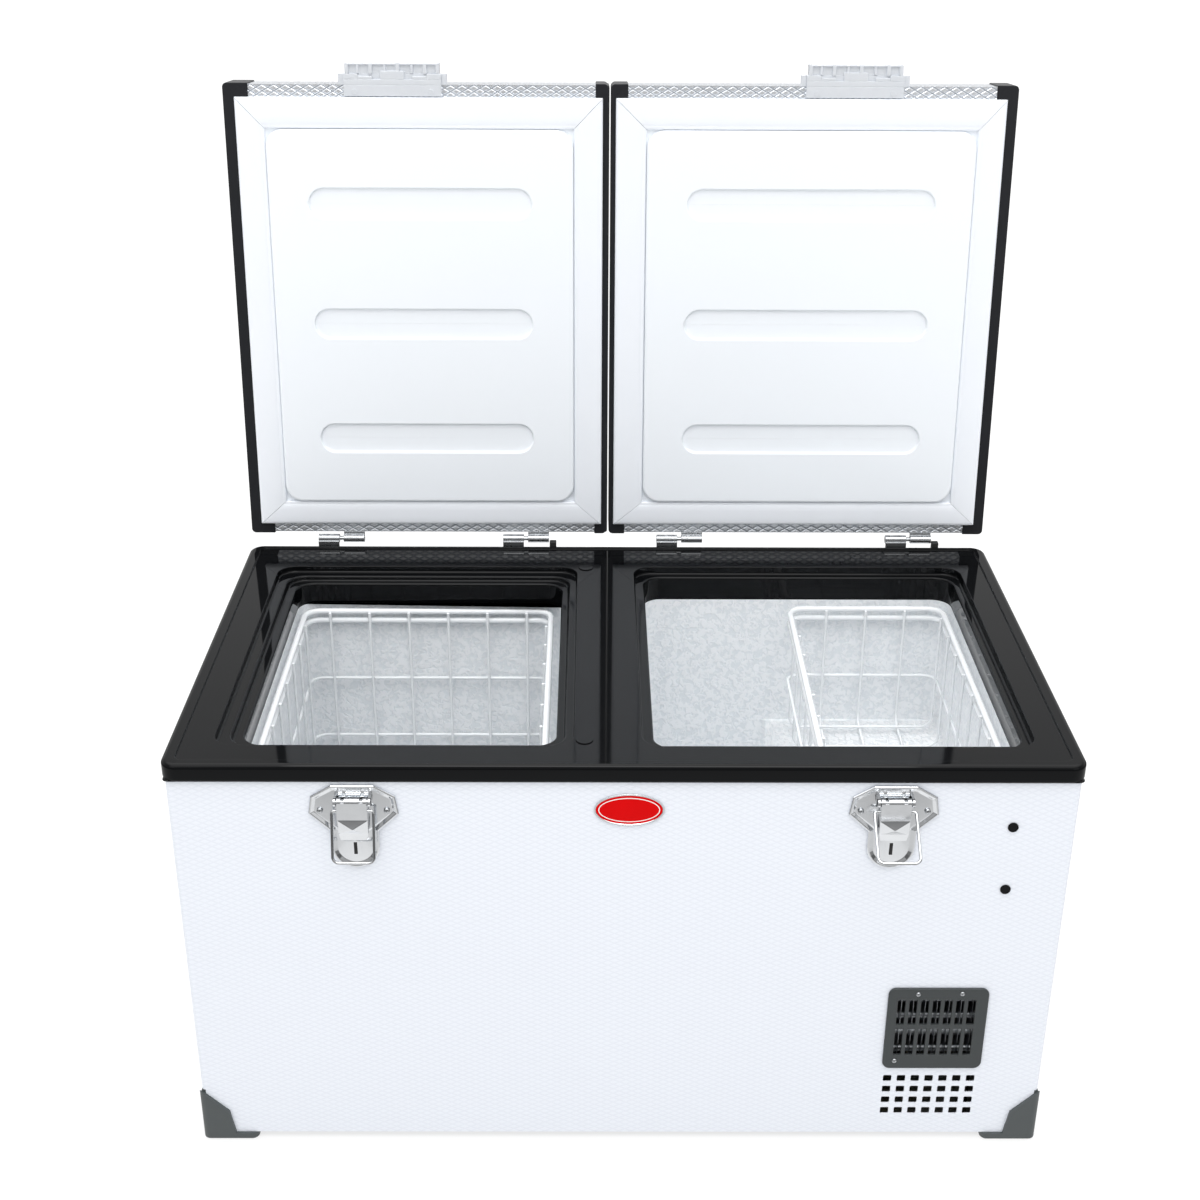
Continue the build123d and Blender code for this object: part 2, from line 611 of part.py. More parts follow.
def handle_bail():
    """Right-hand drop handle: a bent rod with a thicker grip."""
    x = SIDE + HANDLE_OUT
    inner = HANDLE_HALF - ROD - 1
    low = HANDLE_Z - HANDLE_DROP
    points = [(x, HANDLE_Y - HANDLE_HALF - 7, HANDLE_Z), (x, HANDLE_Y - inner, HANDLE_Z), (x, HANDLE_Y - inner, low),
              (x, HANDLE_Y + inner, low), (x, HANDLE_Y + inner, HANDLE_Z),
              (x, HANDLE_Y + HANDLE_HALF + 7, HANDLE_Z)]
    rod = wire(points, [5, 14, 14, 5], ROD)
    return rod + rod_y(x, HANDLE_Y - 34, HANDLE_Y + 34, low, 6.5)


def control_panel():
    """Control plate with a display window, four button holes and the tray behind it."""
    plate = side_plate(PANEL_Y - 66, PANEL_Y + 66, PANEL_Z - 36, PANEL_Z + 36, SIDE, 3.0, 8)
    plate = chamfer(plate.faces().sort_by(Axis.X)[-1].edges(), 0.8)
    y0, y1, z0, z1 = PANEL_Y - 60, PANEL_Y + 60, PANEL_Z - 30, PANEL_Z + 30
    tray = block(SIDE - 18, SIDE, y0, y1, z0, z1)
    tray -= block(SIDE - 16.5, SIDE, y0 + 1.5, y1 - 1.5, z0 + 1.5, z1 - 1.5)
    panel = plate + tray
    panel -= block(SIDE + 1, SIDE + 4, PANEL_Y - 19, PANEL_Y + 19, PANEL_Z - 13, PANEL_Z + 15)
    for dy in BUTTONS.values():
        panel -= side_plate(PANEL_Y + dy - 6.3, PANEL_Y + dy + 6.3, PANEL_Z - 5.3, PANEL_Z + 5.3, SIDE - 1, 6, 2.3)
    return panel


def button(dy):
    """One push button, proud of the plate by a little more than its travel."""
    y = PANEL_Y + dy
    cap = side_plate(y - 6, y + 6, PANEL_Z - 5, PANEL_Z + 5, SIDE - 6, 11.2, 2)
    return fillet(cap.faces().sort_by(Axis.X)[-1].edges(), 0.8)


def power_sockets():
    """Moulded plate with a mains inlet and a low-voltage inlet, and their bodies behind it."""
    plate = side_plate(SOCKET_Y - 36, SOCKET_Y + 36, SOCKET_Z - 19, SOCKET_Z + 19, SIDE, 2.5, 4)
    plate += block(SIDE - 24, SIDE, SOCKET_Y - 31, SOCKET_Y + 31, SOCKET_Z - 14, SOCKET_Z + 14)
    plate -= side_plate(SOCKET_Y - 28, SOCKET_Y - 3, SOCKET_Z - 9, SOCKET_Z + 9, SIDE - 16, 20, 2)
    plate -= side_plate(SOCKET_Y + 5, SOCKET_Y + 27, SOCKET_Z - 7, SOCKET_Z + 7, SIDE - 16, 20, 5)
    for dy in (-21.5, -9.5, 11.5, 20.5):
        plate += rod_x(SIDE - 17, SIDE - 5, SOCKET_Y + dy, SOCKET_Z, 1.3)
    return plate


def side_vent():
    """Louvred grille over the machine bay's side opening."""
    plate = side_plate(VENT_Y - 78, VENT_Y + 78, VENT_Z - 63, VENT_Z + 63, SIDE, 2.5, 8)
    for row in range(8):
        z = VENT_Z - 49 + 14 * row
        for y0, y1 in ((VENT_Y - 68, VENT_Y - 3), (VENT_Y + 3, VENT_Y + 68)):
            plate -= side_plate(y0, y1, z - 3, z + 3, SIDE - 1, 5, 2.5)
    return plate


def cabinet_screws():
    """All screws that hold fixed parts to the cabinet."""
    screws = []
    for x, z in ((299.9, 191.3), (344.4, 192.0), (282.0, 106.0)):
        screws.append(screw_y(x, FRONT - 3.0, z, 2.6))
    for x in HINGE_XS["left"] + HINGE_XS["right"]:
        for dx in (-17, 17):
            screws.append(screw_y(x + dx, RIM_D / 2 + 2, 428, 3.6, 1))
    for x in (-LATCH_X, LATCH_X):
        for dx in (-32, 32):
            screws.append(screw_y(x + dx, FRONT - 3.0, 409, 3.0))
    for dy, dz in ((-70, -55), (70, -55), (-70, 55), (70, 55)):
        screws.append(screw_x(SIDE + 2.5, VENT_Y + dy, VENT_Z + dz, 3.0))
    for dy in (-70, 70):
        screws.append(screw_x(SIDE + 2.5, HANDLE_Y + dy, HANDLE_Z, 3.4))
        screws.append(mirror(screw_x(SIDE + 2.5, HANDLE_Y + dy, HANDLE_Z, 3.4), about=Plane.YZ))
    return screws


# Machine bay ---------------------------------------------------------------------------------------

def compressor():
    """Hermetic compressor can with its mounting bar and pipe stubs."""
    can = Pos(COMP_X, COMP_Y, 88) * Box(120, 190, 100)
    can = fillet(can.edges().filter_by(Axis.Z), 48)
    can = fillet(can.faces().sort_by(Axis.Z)[-1].edges(), 30)
    can = fillet(can.faces().sort_by(Axis.Z)[0].edges(), 20)
    bar = block(COMP_X - 80, COMP_X + 80, COMP_Y - 84, COMP_Y + 84, 24, 28)
    bar -= block(COMP_X - 52, COMP_X + 52, COMP_Y - 50, COMP_Y + 50, 20, 30)
    bar += block(COMP_X - 30, COMP_X + 30, COMP_Y - 84, COMP_Y + 84, 24, 44)
    for sx in (-1, 1):
        for sy in (-1, 1):
            bar -= rod_z(COMP_X + sx * 68, COMP_Y + sy * 70, 20, 30, 6)
    return can + bar


def compressor_feet():
    """Four rubber mounts under the compressor's bar."""
    feet = []
    for sx in (-1, 1):
        for sy in (-1, 1):
            x, y = COMP_X + sx * 68, COMP_Y + sy * 70
            foot = rod_z(x, y, CAB_BOTTOM + 1.5, 24, 11) + rod_z(x, y, 24, 30, 6) + rod_z(x, y, 28, 32, 9)
            feet.append(foot)
    return feet


def condenser():
    """Finned condenser block behind the front grille."""
    y0, y1 = FRONT + 8, FRONT + 34
    x0, x1, z0, z1 = 268.0, 374.0, 92.0, 202.0
    floor = CAB_BOTTOM + 1.5
    core = block(x0, x0 + 2, y0, y1, floor, z1) + block(x1 - 2, x1, y0, y1, floor, z1)
    for row in range(5):
        core += rod_x(x0 - 5, x1 + 5, (y0 + y1) / 2, z0 + 12 + 21.5 * row, 4)
    for k in range(17):
        x = x0 + 6.1 * (k + 1)
        core += block(x - 0.4, x + 0.4, y0, y1, z0, z1)
    return core


def fan_frame():
    """Square fan frame with a round mouth, four spokes and the motor cup."""
    half = FAN / 2
    z = GRILLE_Z
    x = GRILLE_X
    frame = block(x - half, x + half, FAN_Y - 12, FAN_Y + 12, z - half, z + half)
    frame = fillet(frame.edges().filter_by(Axis.Y).group_by(Axis.Z)[-1], 6)
    frame -= rod_y(x, FAN_Y - 13, FAN_Y + 13, z, 54)
    frame += rod_y(x, FAN_Y + 9, FAN_Y + 12, z, 21)
    frame += block(x - 56, x + 56, FAN_Y + 9, FAN_Y + 12, z - 3, z + 3)
    frame += block(x - 3, x + 3, FAN_Y + 9, FAN_Y + 12, z - 56, z + 56)
    frame += rod_y(x, FAN_Y + 2, FAN_Y + 10, z, 3)
    for x0 in (x - half, x + half - 6):
        frame += block(x0, x0 + 6, FAN_Y - 12, FAN_Y + 12, CAB_BOTTOM + 1.5, z - half + 2)
    return frame


def fan_rotor():
    """Hub and seven blades on the motor's spindle."""
    z = GRILLE_Z
    x = GRILLE_X
    hub = rod_y(x, FAN_Y - 10, FAN_Y + 8, z, 20)
    blade = Box(34, 1.6, 22)
    rotor = hub
    for k in range(7):
        a = 360 / 7 * k
        rotor += Pos(x, FAN_Y - 1, z) * Rot(0, a, 0) * Pos(35.5, 0, 0) * Rot(35, 0, 0) * blade
    rotor -= rod_y(x, FAN_Y + 1.5, FAN_Y + 9, z, 3 + RUN)
    return rotor


def control_module():
    """Electronics box behind the compressor."""
    box = block(245, 400, 150, 225, CAB_BOTTOM + 1.5, 70)
    box = fillet(box.edges().filter_by(Axis.Z), 6)
    for k in range(8):
        x = 262 + 17 * k
        box -= block(x, x + 6, 160, 215, 64, 71)
    return box


def refrigerant_lines():
    """Copper pipes between compressor, condenser, drier and the tanks, and the drier itself."""
    r = 3.0
    x, y = COMP_X, COMP_Y
    discharge = wire([(x - 40, y - 50, 136), (x - 40, y - 50, 190), (x - 40, y - 190, 190), (258, y - 190, 190),
                      (258, FRONT + 21, 190), (263, FRONT + 21, 190)], [12, 12, 12, 4], r)
    suction = wire([(x + 20, y + 60, 136), (x + 20, y + 60, 180), (x - 60, y + 60, 180), (x - 60, y + 60, BAY_TOP)],
                   [12, 12], r)
    drier = rod_y(246, -120, -30, 60, 9)
    drier += rod_y(246, -150, -120, 60, r) + rod_y(246, -30, 0, 60, r)
    return [discharge, suction, drier]


# Baskets -------------------------------------------------------------------------------------------

def basket(x0, x1, y0, y1, z0, z1):
    """Wire basket as a thin open box: its floor and four walls, with rounded corners."""
    t = BASKET_WALL
    shell = upright(x0, x1, y0, y1, z0, z1, STEP_RADIUS)
    return shell - upright(x0 + t, x1 - t, y0 + t, y1 - t, z0 + t, z1 + 1, STEP_RADIUS - t)


def main():
    """Writes every node."""
    os.makedirs("parts", exist_ok=True)
    tube = cabinet_tube()
    save("cabinet_front_panel", front_panel(tube))
    save("cabinet_rear_panel", rear_panel(tube))
    save("cabinet_side_panels", *side_panels(tube))
    save("base_pan", base_pan())
    save("liner_left", liner(left_tank))
    save("liner_right", liner(right_tank))
    bands = evaporators()
    save("evaporators", *bands)
    funnels = [funnel(LEFT_STEPS, 3.0), funnel(RIGHT_STEPS, 3.0)]
    save("insulation_foam", *insulation_foam(funnels, bands))
    save("rim_collar", rim_collar())
    save("cover_caps", *cover_caps())
    save("corner_guards", *[corner_guard(sx, sy) for sx in (-1, 1) for sy in (-1, 1)])
    save("vent_grille", vent_grille())
    save("badge", badge())
    save("latch_bases", latch_base(-LATCH_X), latch_base(LATCH_X))
    save("latch_pins", *[rod_x(x - 17.8, x + 17.8, LEVER_Y, LEVER_Z, 2.0) for x in (-LATCH_X, LATCH_X)])
    for side, x in (("left", -LATCH_X), ("right", LATCH_X)):
        save(f"latch_lever_{side}", latch_lever(x))
        save(f"latch_bail_{side}", latch_bail(x, BAIL_TILT[side]))
    hinges = HINGE_XS["left"] + HINGE_XS["right"]
    save("hinge_body_leaves", *[body_leaf(x) for x in hinges])
    half = HINGE_W / 2
    save("hinge_pins", *[rod_x(x - half, x + half - 1, HINGE_Y, HINGE_Z, PIN_R) for x in hinges])
    stops = [HINGE_XS["left"][1], HINGE_XS["right"][1]]
    save("lid_stops", *[block(x + half + 1, x + half + 9, RIM_D / 2, RIM_D / 2 + 8, 448, 464) for x in stops])
    save("cabinet_screws", *cabinet_screws())
    for side, lid in LIDS.items():
        save(f"lid_skin_{side}", to_open(lid_skin(lid)))
        save(f"lid_foam_{side}", to_open(lid_foam(lid)))
        save(f"lid_panel_{side}", to_open(lid_panel(lid)))
        save(f"lid_gasket_{side}", to_open(lid_gasket(lid)))
        save(f"lid_trims_{side}", *[to_open(trim) for trim in lid_trims(lid)])
        save(f"lid_catch_{side}", to_open(lid_catch(CATCH_X[side])))
        save(f"lid_leaves_{side}", *[to_open(lid_leaf(x)) for x in HINGE_XS[side]])
        save(f"lid_fasteners_{side}", *[to_open(part) for part in lid_fasteners(side)])
    save("handle_brackets", handle_bracket(), mirror(handle_bracket(), about=Plane.YZ))
    save("handle_right", handle_bail())
    save("handle_left", mirror(handle_bail(), about=Plane.YZ))
    save("control_panel", control_panel())
    save("display_window", block(SIDE + 1, SIDE + 2.8, PANEL_Y - 19, PANEL_Y + 19, PANEL_Z - 13, PANEL_Z + 15))
    for name, dy in BUTTONS.items():
        save(f"button_{name}", button(dy))
    save("power_sockets", power_sockets())
    save("side_vent_grille", side_vent())
    save("compressor", compressor())
    save("compressor_feet", *compressor_feet())
    save("condenser", condenser())
    save("fan_frame", fan_frame())
    save("fan_rotor", fan_rotor())
    save("control_module", control_module())
    save("refrigerant_lines", *refrigerant_lines())
    for side, sizes in BASKETS.items():
        save(f"basket_{side}", basket(*sizes))


main()
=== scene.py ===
"""Looks of a dual-zone compressor fridge with both lids open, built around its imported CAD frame.

Lengths in the classes are millimetres, as a maker would give them, and `metres` converts them in one
place. Places come from the CAD nodes' boxes and from the joints, so each piece sits where the CAD has it.
"""

import json
import logging
import math
from dataclasses import dataclass
from enum import Enum
from typing import Any, Callable, Optional, Sequence

import bmesh
import bpy
from mathutils import Matrix, Vector

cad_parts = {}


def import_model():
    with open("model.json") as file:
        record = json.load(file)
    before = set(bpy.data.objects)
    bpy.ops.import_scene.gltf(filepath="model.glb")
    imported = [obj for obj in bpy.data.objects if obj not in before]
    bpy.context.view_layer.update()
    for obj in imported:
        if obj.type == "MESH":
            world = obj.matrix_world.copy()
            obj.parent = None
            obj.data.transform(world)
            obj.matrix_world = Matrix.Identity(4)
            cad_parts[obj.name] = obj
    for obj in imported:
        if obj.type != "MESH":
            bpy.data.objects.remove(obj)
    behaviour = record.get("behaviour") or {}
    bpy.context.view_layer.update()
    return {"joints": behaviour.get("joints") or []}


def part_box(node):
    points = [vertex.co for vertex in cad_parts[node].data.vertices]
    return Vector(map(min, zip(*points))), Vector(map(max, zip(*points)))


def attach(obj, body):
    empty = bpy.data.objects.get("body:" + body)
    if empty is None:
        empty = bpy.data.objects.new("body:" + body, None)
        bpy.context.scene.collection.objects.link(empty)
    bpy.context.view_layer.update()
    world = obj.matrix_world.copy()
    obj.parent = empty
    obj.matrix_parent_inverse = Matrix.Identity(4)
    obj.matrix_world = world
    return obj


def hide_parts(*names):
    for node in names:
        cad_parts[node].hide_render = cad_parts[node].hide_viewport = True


log = logging.getLogger("fridge")

MM = 0.001
Outline = list[tuple[float, float]]
Edge = bmesh.types.BMEdge
Weight = Optional[Callable[[Edge], float]]
Work = bmesh.types.BMesh
Mesh = bpy.types.Mesh
Tree = bpy.types.NodeTree
Socket = bpy.types.NodeSocket


def metres(*lengths: float) -> Vector:
    """Returns two or three lengths in millimetres as a vector in metres."""
    return Vector([length * MM for length in lengths])


def linear(hex_colour: str) -> tuple[float, float, float, float]:
    """Turns an sRGB hex colour into linear light.

    Args:
        hex_colour: six hex digits, with or without a leading #.

    Returns:
        Red, green, blue and an alpha of 1.
    """
    digits = hex_colour.lstrip("#")
    shares = [int(digits[i:i + 2], 16) / 255 for i in (0, 2, 4)]
    light = [s / 12.92 if s <= 0.04045 else ((s + 0.055) / 1.055) ** 2.4 for s in shares]
    return light[0], light[1], light[2], 1.0


def add_node(tree: Tree, kind: str, inputs: Optional[dict] = None, **settings: Any) -> bpy.types.Node:
    """Adds one node with its settings, values and links.

    Args:
        tree: the shader or geometry tree.
        kind: the node's type name.
        inputs: values or output sockets, by the input's name or index.
        settings: the node's own properties.

    Returns:
        The new node.
    """
    node = tree.nodes.new(kind)
    for name, value in settings.items():
        setattr(node, name, value)
    for key, value in (inputs or {}).items():
        if isinstance(value, Socket):
            tree.links.new(value, node.inputs[key])
        else:
            node.inputs[key].default_value = value
    return node


# Finishes ------------------------------------------------------------------------------------------

class Relief(Enum):
    """Surface patterns that a sheet, casting or moulding carries."""

    SMOOTH = "smooth"
    UPRIGHT_DIAMONDS = "diamonds on the cabinet's walls"
    LID_DIAMONDS = "diamonds on a lid's folded sheet"
    STUCCO = "stucco rolled into a liner"
    GRAIN = "fine moulded grain"
    CAST = "as-cast skin"
    BRUSHED = "drawn or brushed along X"


@dataclass(frozen=True)
class Finish:
    """One real surface: its material, its colour and the relief that it was made with.

    Attributes:
        name: the material's plain name.
        colour: sRGB hex of the clean surface.
        shade: sRGB hex of its slightly darker patches, or of the shade painted into the relief's valleys.
        roughness: middle roughness.
        spread: how far the roughness wanders either side.
        metallic: 1 for bare metal.
        coat: share of clear coat.
        relief: the pattern.
        pitch: pattern length and height in millimetres.
        depth: pattern depth in millimetres.
        patch: size in millimetres of the patches of colour and roughness.
        painted_valley_shade: whether the darker colour is painted into the relief's valleys as shade instead
            of lying in patches.
        shine: specular level, 0.5 for most plastics and paints.
        glow: strength of its own light.
    """

    name: str
    colour: str
    shade: str
    roughness: float
    spread: float = 0.04
    metallic: float = 0.0
    coat: float = 0.0
    relief: Relief = Relief.SMOOTH
    pitch: tuple[float, float] = (1.0, 1.0)
    depth: float = 0.02
    patch: float = 60.0
    painted_valley_shade: bool = False
    shine: float = 0.5
    glow: float = 0.0

    def height(self, tree: Tree, place: Socket) -> Optional[Socket]:
        """Adds the nodes of the relief.

        Args:
            tree: the material's tree.
            place: object coordinates.

        Returns:
            The height from 0 to 1, or nothing for a smooth surface.
        """
        if self.relief in (Relief.UPRIGHT_DIAMONDS, Relief.LID_DIAMONDS):
            return self.diamonds(tree, place)
        if self.relief is Relief.SMOOTH:
            return None
        if self.relief is Relief.BRUSHED:  # lines run on along X, fifty times longer than wide
            squeeze = add_node(tree, "ShaderNodeMapping", {"Vector": place, "Scale": (0.02, 1.0, 1.0)})
            place = squeeze.outputs[0]
        detail, swirl = {Relief.STUCCO: (1.0, 0.8), Relief.BRUSHED: (3.0, 0.0)}.get(self.relief, (2.0, 0.0))
        texture = add_node(tree, "ShaderNodeTexNoise", {"Vector": place, "Scale": 1 / (self.pitch[0] * MM),
                                                        "Detail": detail, "Distortion": swirl})
        if self.relief is not Relief.STUCCO:
            return texture.outputs["Fac"]
        pressed = add_node(tree, "ShaderNodeMapRange",
                           {"Value": texture.outputs["Fac"], "From Min": 0.38, "From Max": 0.58},
                           interpolation_type="SMOOTHSTEP")
        return pressed.outputs[0]

    def diamonds(self, tree: Tree, place: Socket) -> Socket:
        """Adds staggered long diamonds, raised between two sets of slanting valleys.

        Args:
            tree: the material's tree.
            place: object coordinates.

        Returns:
            The height from 0 in a valley to 1 on a diamond.
        """
        axes = add_node(tree, "ShaderNodeSeparateXYZ", {0: place})
        along, across, up = axes.outputs
        if self.relief is Relief.UPRIGHT_DIAMONDS:
            first = add_node(tree, "ShaderNodeMath", {0: along, 1: across}, operation="ADD").outputs[0]
            second = up
        else:
            first = along
            second = add_node(tree, "ShaderNodeMath", {0: across, 1: up}, operation="ADD").outputs[0]
        u = add_node(tree, "ShaderNodeMath", {0: first, 1: 1 / (self.pitch[0] * MM)}, operation="MULTIPLY")
        v = add_node(tree, "ShaderNodeMath", {0: second, 1: 1 / (self.pitch[1] * MM)}, operation="MULTIPLY")
        slopes = []
        for operation in ("ADD", "SUBTRACT"):
            slanted = add_node(tree, "ShaderNodeMath", {0: u.outputs[0], 1: v.outputs[0]},
                               operation=operation)
            fold = add_node(tree, "ShaderNodeMath", {0: slanted.outputs[0], 1: 0.5}, operation="PINGPONG")
            slopes.append(fold.outputs[0])
        least = add_node(tree, "ShaderNodeMath", {0: slopes[0], 1: slopes[1]}, operation="MINIMUM")
        pad = add_node(tree, "ShaderNodeMapRange",
                       {"Value": least.outputs[0], "From Min": 0.03, "From Max": 0.24},
                       interpolation_type="SMOOTHSTEP")
        return pad.outputs[0]

    def material(self) -> bpy.types.Material:
        """Returns the material, made once and then shared."""
        title = f"{self.name}_surface"
        made = bpy.data.materials.get(title)
        if made:
            return made
        made = bpy.data.materials.new(title)
        made.use_nodes = True
        tree = made.node_tree
        surface = tree.nodes["Principled BSDF"]
        surface.inputs["Metallic"].default_value = self.metallic
        surface.inputs["Coat Weight"].default_value = self.coat
        surface.inputs["Coat Roughness"].default_value = 0.06
        surface.inputs["Specular IOR Level"].default_value = self.shine
        place = add_node(tree, "ShaderNodeTexCoord").outputs["Object"]
        patches = add_node(tree, "ShaderNodeTexNoise",
                           {"Vector": place, "Scale": 1 / (self.patch * MM), "Detail": 4.0, "Roughness": 0.6})
        height = self.height(tree, place)
        share, start, end = patches.outputs["Fac"], self.colour, self.shade
        # With painted_valley_shade set, the darker colour follows the relief's height as shade painted into
        # its valleys.
        if self.painted_valley_shade:
            share, start, end = height, self.shade, self.colour
        mix = add_node(tree, "ShaderNodeMix", {0: share, 6: linear(start), 7: linear(end)}, data_type="RGBA")
        tree.links.new(mix.outputs[2], surface.inputs["Base Color"])
        smoothest, roughest = max(self.roughness - self.spread, 0.02), self.roughness + self.spread
        rough = add_node(tree, "ShaderNodeMapRange",
                         {"Value": patches.outputs["Fac"], "From Min": 0.3, "From Max": 0.7,
                          "To Min": smoothest, "To Max": roughest})
        tree.links.new(rough.outputs[0], surface.inputs["Roughness"])
        if height is not None:
            bump = add_node(tree, "ShaderNodeBump",
                            {"Height": height, "Strength": 1.0, "Distance": self.depth * MM})
            tree.links.new(bump.outputs["Normal"], surface.inputs["Normal"])
        if self.glow:
            surface.inputs["Emission Color"].default_value = linear(self.colour)
            surface.inputs["Emission Strength"].default_value = self.glow
        return made


# Stucco- and diamond-embossed sheets, mouldings and metals of the fridge, each by its real name.
# Coil-coated steel: bright cool white, soft sheen, and rows of faint diamonds that catch the light, with a
# faint shade painted into the valleys between them.
COATED_STEEL = Finish("coated_steel_white", "E6EAF1", "E0E4EC", 0.34, relief=Relief.UPRIGHT_DIAMONDS,
                      pitch=(13.0, 6.0), depth=0.10, patch=200.0, painted_valley_shade=True)
# Embossed aluminium sheet of the lids: silver with a strong light and dark rhythm along the folds, partly
# from the bumps and partly from grey shade painted into the valleys.
EMBOSSED_ALUMINIUM = Finish("embossed_aluminium", "EEF0F3", "BFC4CB", 0.30, metallic=0.8,
                            relief=Relief.LID_DIAMONDS, pitch=(13.0, 8.0), depth=0.55, patch=90.0,
                            painted_valley_shade=True)
# Stucco aluminium of the tanks: pale silver-grey and pebbled, with soft broken highlights and a faint shade
# painted into the hollows. The real pebbles are a little smaller, and are drawn coarser so that they show.
STUCCO_ALUMINIUM = Finish("stucco_aluminium", "F5F7F9", "E9EDF0", 0.38, metallic=0.1, relief=Relief.STUCCO,
                          pitch=(5.5, 5.5), depth=0.45, patch=120.0, painted_valley_shade=True)
# Galvanised pan under the cabinet: mid grey with a spangled, uneven sheen.
GALVANISED_STEEL = Finish("galvanised_steel", "A9ADB1", "8E9397", 0.42, metallic=1.0, relief=Relief.CAST,
                          pitch=(9.0, 9.0), depth=0.03, patch=18.0)
# Polyurethane foam: cream, matte and finely open.
POLYURETHANE_FOAM = Finish("polyurethane_foam", "EBDDAE", "DCCB94", 0.9, relief=Relief.GRAIN,
                           pitch=(1.6, 1.6), depth=0.35, patch=25.0)
# Gloss black ABS rim: deep black with a faint, sharp mirror of the lids.
GLOSS_BLACK_ABS = Finish("gloss_black_abs", "08090A", "0B0C0E", 0.045, spread=0.015, patch=140.0, shine=0.16)
# Satin black moulding: charcoal with a fine etched grain that greys its highlights.
SATIN_BLACK_PLASTIC = Finish("satin_black_plastic", "1D1E21", "222327", 0.36, relief=Relief.GRAIN,
                             pitch=(1.1, 1.1), depth=0.04, patch=70.0, shine=0.3)
# Grey polypropylene of the corner guards: soft, even and finely grained.
GUARD_POLYPROPYLENE = Finish("grey_polypropylene", "4C5152", "434849", 0.46, relief=Relief.GRAIN,
                             pitch=(1.0, 1.0), depth=0.05, patch=60.0)
# Charcoal polypropylene of the grilles: darker, with a dull sheen.
CHARCOAL_POLYPROPYLENE = Finish("charcoal_polypropylene", "373B3C", "3D4142", 0.42, relief=Relief.GRAIN,
                                pitch=(1.0, 1.0), depth=0.04, patch=60.0, shine=0.4)
# Vacuum-formed white ABS: clean bluish white with a soft moulded gloss.
WHITE_ABS = Finish("white_abs", "F3F7FB", "F1F5FA", 0.30, spread=0.01, patch=160.0)
# White PVC seal: slightly duller than the panel beside it.
PVC_SEAL = Finish("pvc_seal", "F2F5FA", "EDF1F7", 0.44, relief=Relief.GRAIN, pitch=(3.0, 3.0), depth=0.03)
# Zinc die casting with a pale satin plate: soft, slightly uneven highlights.
SATIN_ZINC = Finish("satin_zinc_casting", "EEF1F5", "DFE3E9", 0.32, metallic=0.35, relief=Relief.CAST,
                    pitch=(2.2, 2.2), depth=0.03, patch=20.0)
# Chromed zinc casting: near mirror, with facets that flip between white and dark grey.
CHROMED_ZINC = Finish("chromed_zinc", "E8EAEC", "DEE0E3", 0.13, spread=0.03, metallic=1.0, relief=Relief.CAST,
                      pitch=(6.0, 6.0), depth=0.012, patch=15.0)
# Drawn stainless wire and pins: bright with fine drawing lines.
STAINLESS_WIRE = Finish("stainless_wire", "D9DADB", "C6C8CA", 0.16, metallic=1.0, relief=Relief.BRUSHED,
                        pitch=(0.5, 0.5), depth=0.006, patch=12.0)
# Brushed stainless sheet and screws: grey, with a short streak in each highlight.
STAINLESS_STEEL = Finish("stainless_steel", "CBCDCF", "B4B7BA", 0.28, metallic=1.0, relief=Relief.BRUSHED,
                         pitch=(0.6, 0.6), depth=0.012, patch=14.0)
# Red enamel of the plain badge: saturated, with hardly any highlight.
RED_ENAMEL = Finish("red_enamel", "D60306", "C90204", 0.36, patch=12.0, shine=0.06)
# White enamel line inside the badge's border: clean and glossy.
WHITE_ENAMEL = Finish("white_enamel", "F4F4F2", "E9E9E6", 0.30, coat=0.5, patch=8.0)
# PVC-coated wire of the baskets: glossy white, a touch uneven where the coating pooled.
COATED_WIRE = Finish("coated_wire_white", "F1F3F5", "E6E9EC", 0.20, coat=0.3, relief=Relief.CAST,
                     pitch=(4.0, 4.0), depth=0.03, patch=25.0)
# Compressor shell enamel: black, slightly orange-peeled.
COMPRESSOR_ENAMEL = Finish("compressor_enamel", "191A1C", "232427", 0.32, relief=Relief.CAST,
                           pitch=(2.0, 2.0), depth=0.03, patch=30.0)
# Moulded rubber of the mounts, stops and grips: matte near-black.
MOUNT_RUBBER = Finish("mount_rubber", "1E1E1F", "292929", 0.72, relief=Relief.GRAIN, pitch=(0.9, 0.9),
                      depth=0.05)
# Copper pipe: warm brown-pink, dulled by handling.
COPPER_PIPE = Finish("copper_pipe", "C98A6A", "9C5F45", 0.30, metallic=1.0, patch=14.0)
# Bare fin aluminium of the condenser and evaporators: pale grey with an even sheen.
FIN_ALUMINIUM = Finish("fin_aluminium", "C9CCCF", "B2B6BA", 0.34, metallic=1.0, patch=16.0)
# Smoked display window: nearly black, mirror smooth.
DISPLAY_GLASS = Finish("display_glass", "0B0D10", "101317", 0.05, spread=0.01, coat=1.0, patch=40.0)
# Lit segments behind the window: pale blue light.
DISPLAY_LIGHT = Finish("display_light", "6FD8FF", "62C9F0", 0.4, patch=10.0, glow=2.5)
# Moulded grey plastic of the buttons: mid grey and finely grained.
BUTTON_PLASTIC = Finish("button_plastic", "8C8F94", "7E8186", 0.38, relief=Relief.GRAIN, pitch=(0.9, 0.9),
                        depth=0.03)
# Studio floor: neutral card lit softly by itself, so that it shows white and takes faint shadows.
STUDIO_CARD = Finish("studio_card", "8A8A8A", "888888", 0.85, spread=0.02, patch=900.0, glow=2.8)


# Mesh work -----------------------------------------------------------------------------------------

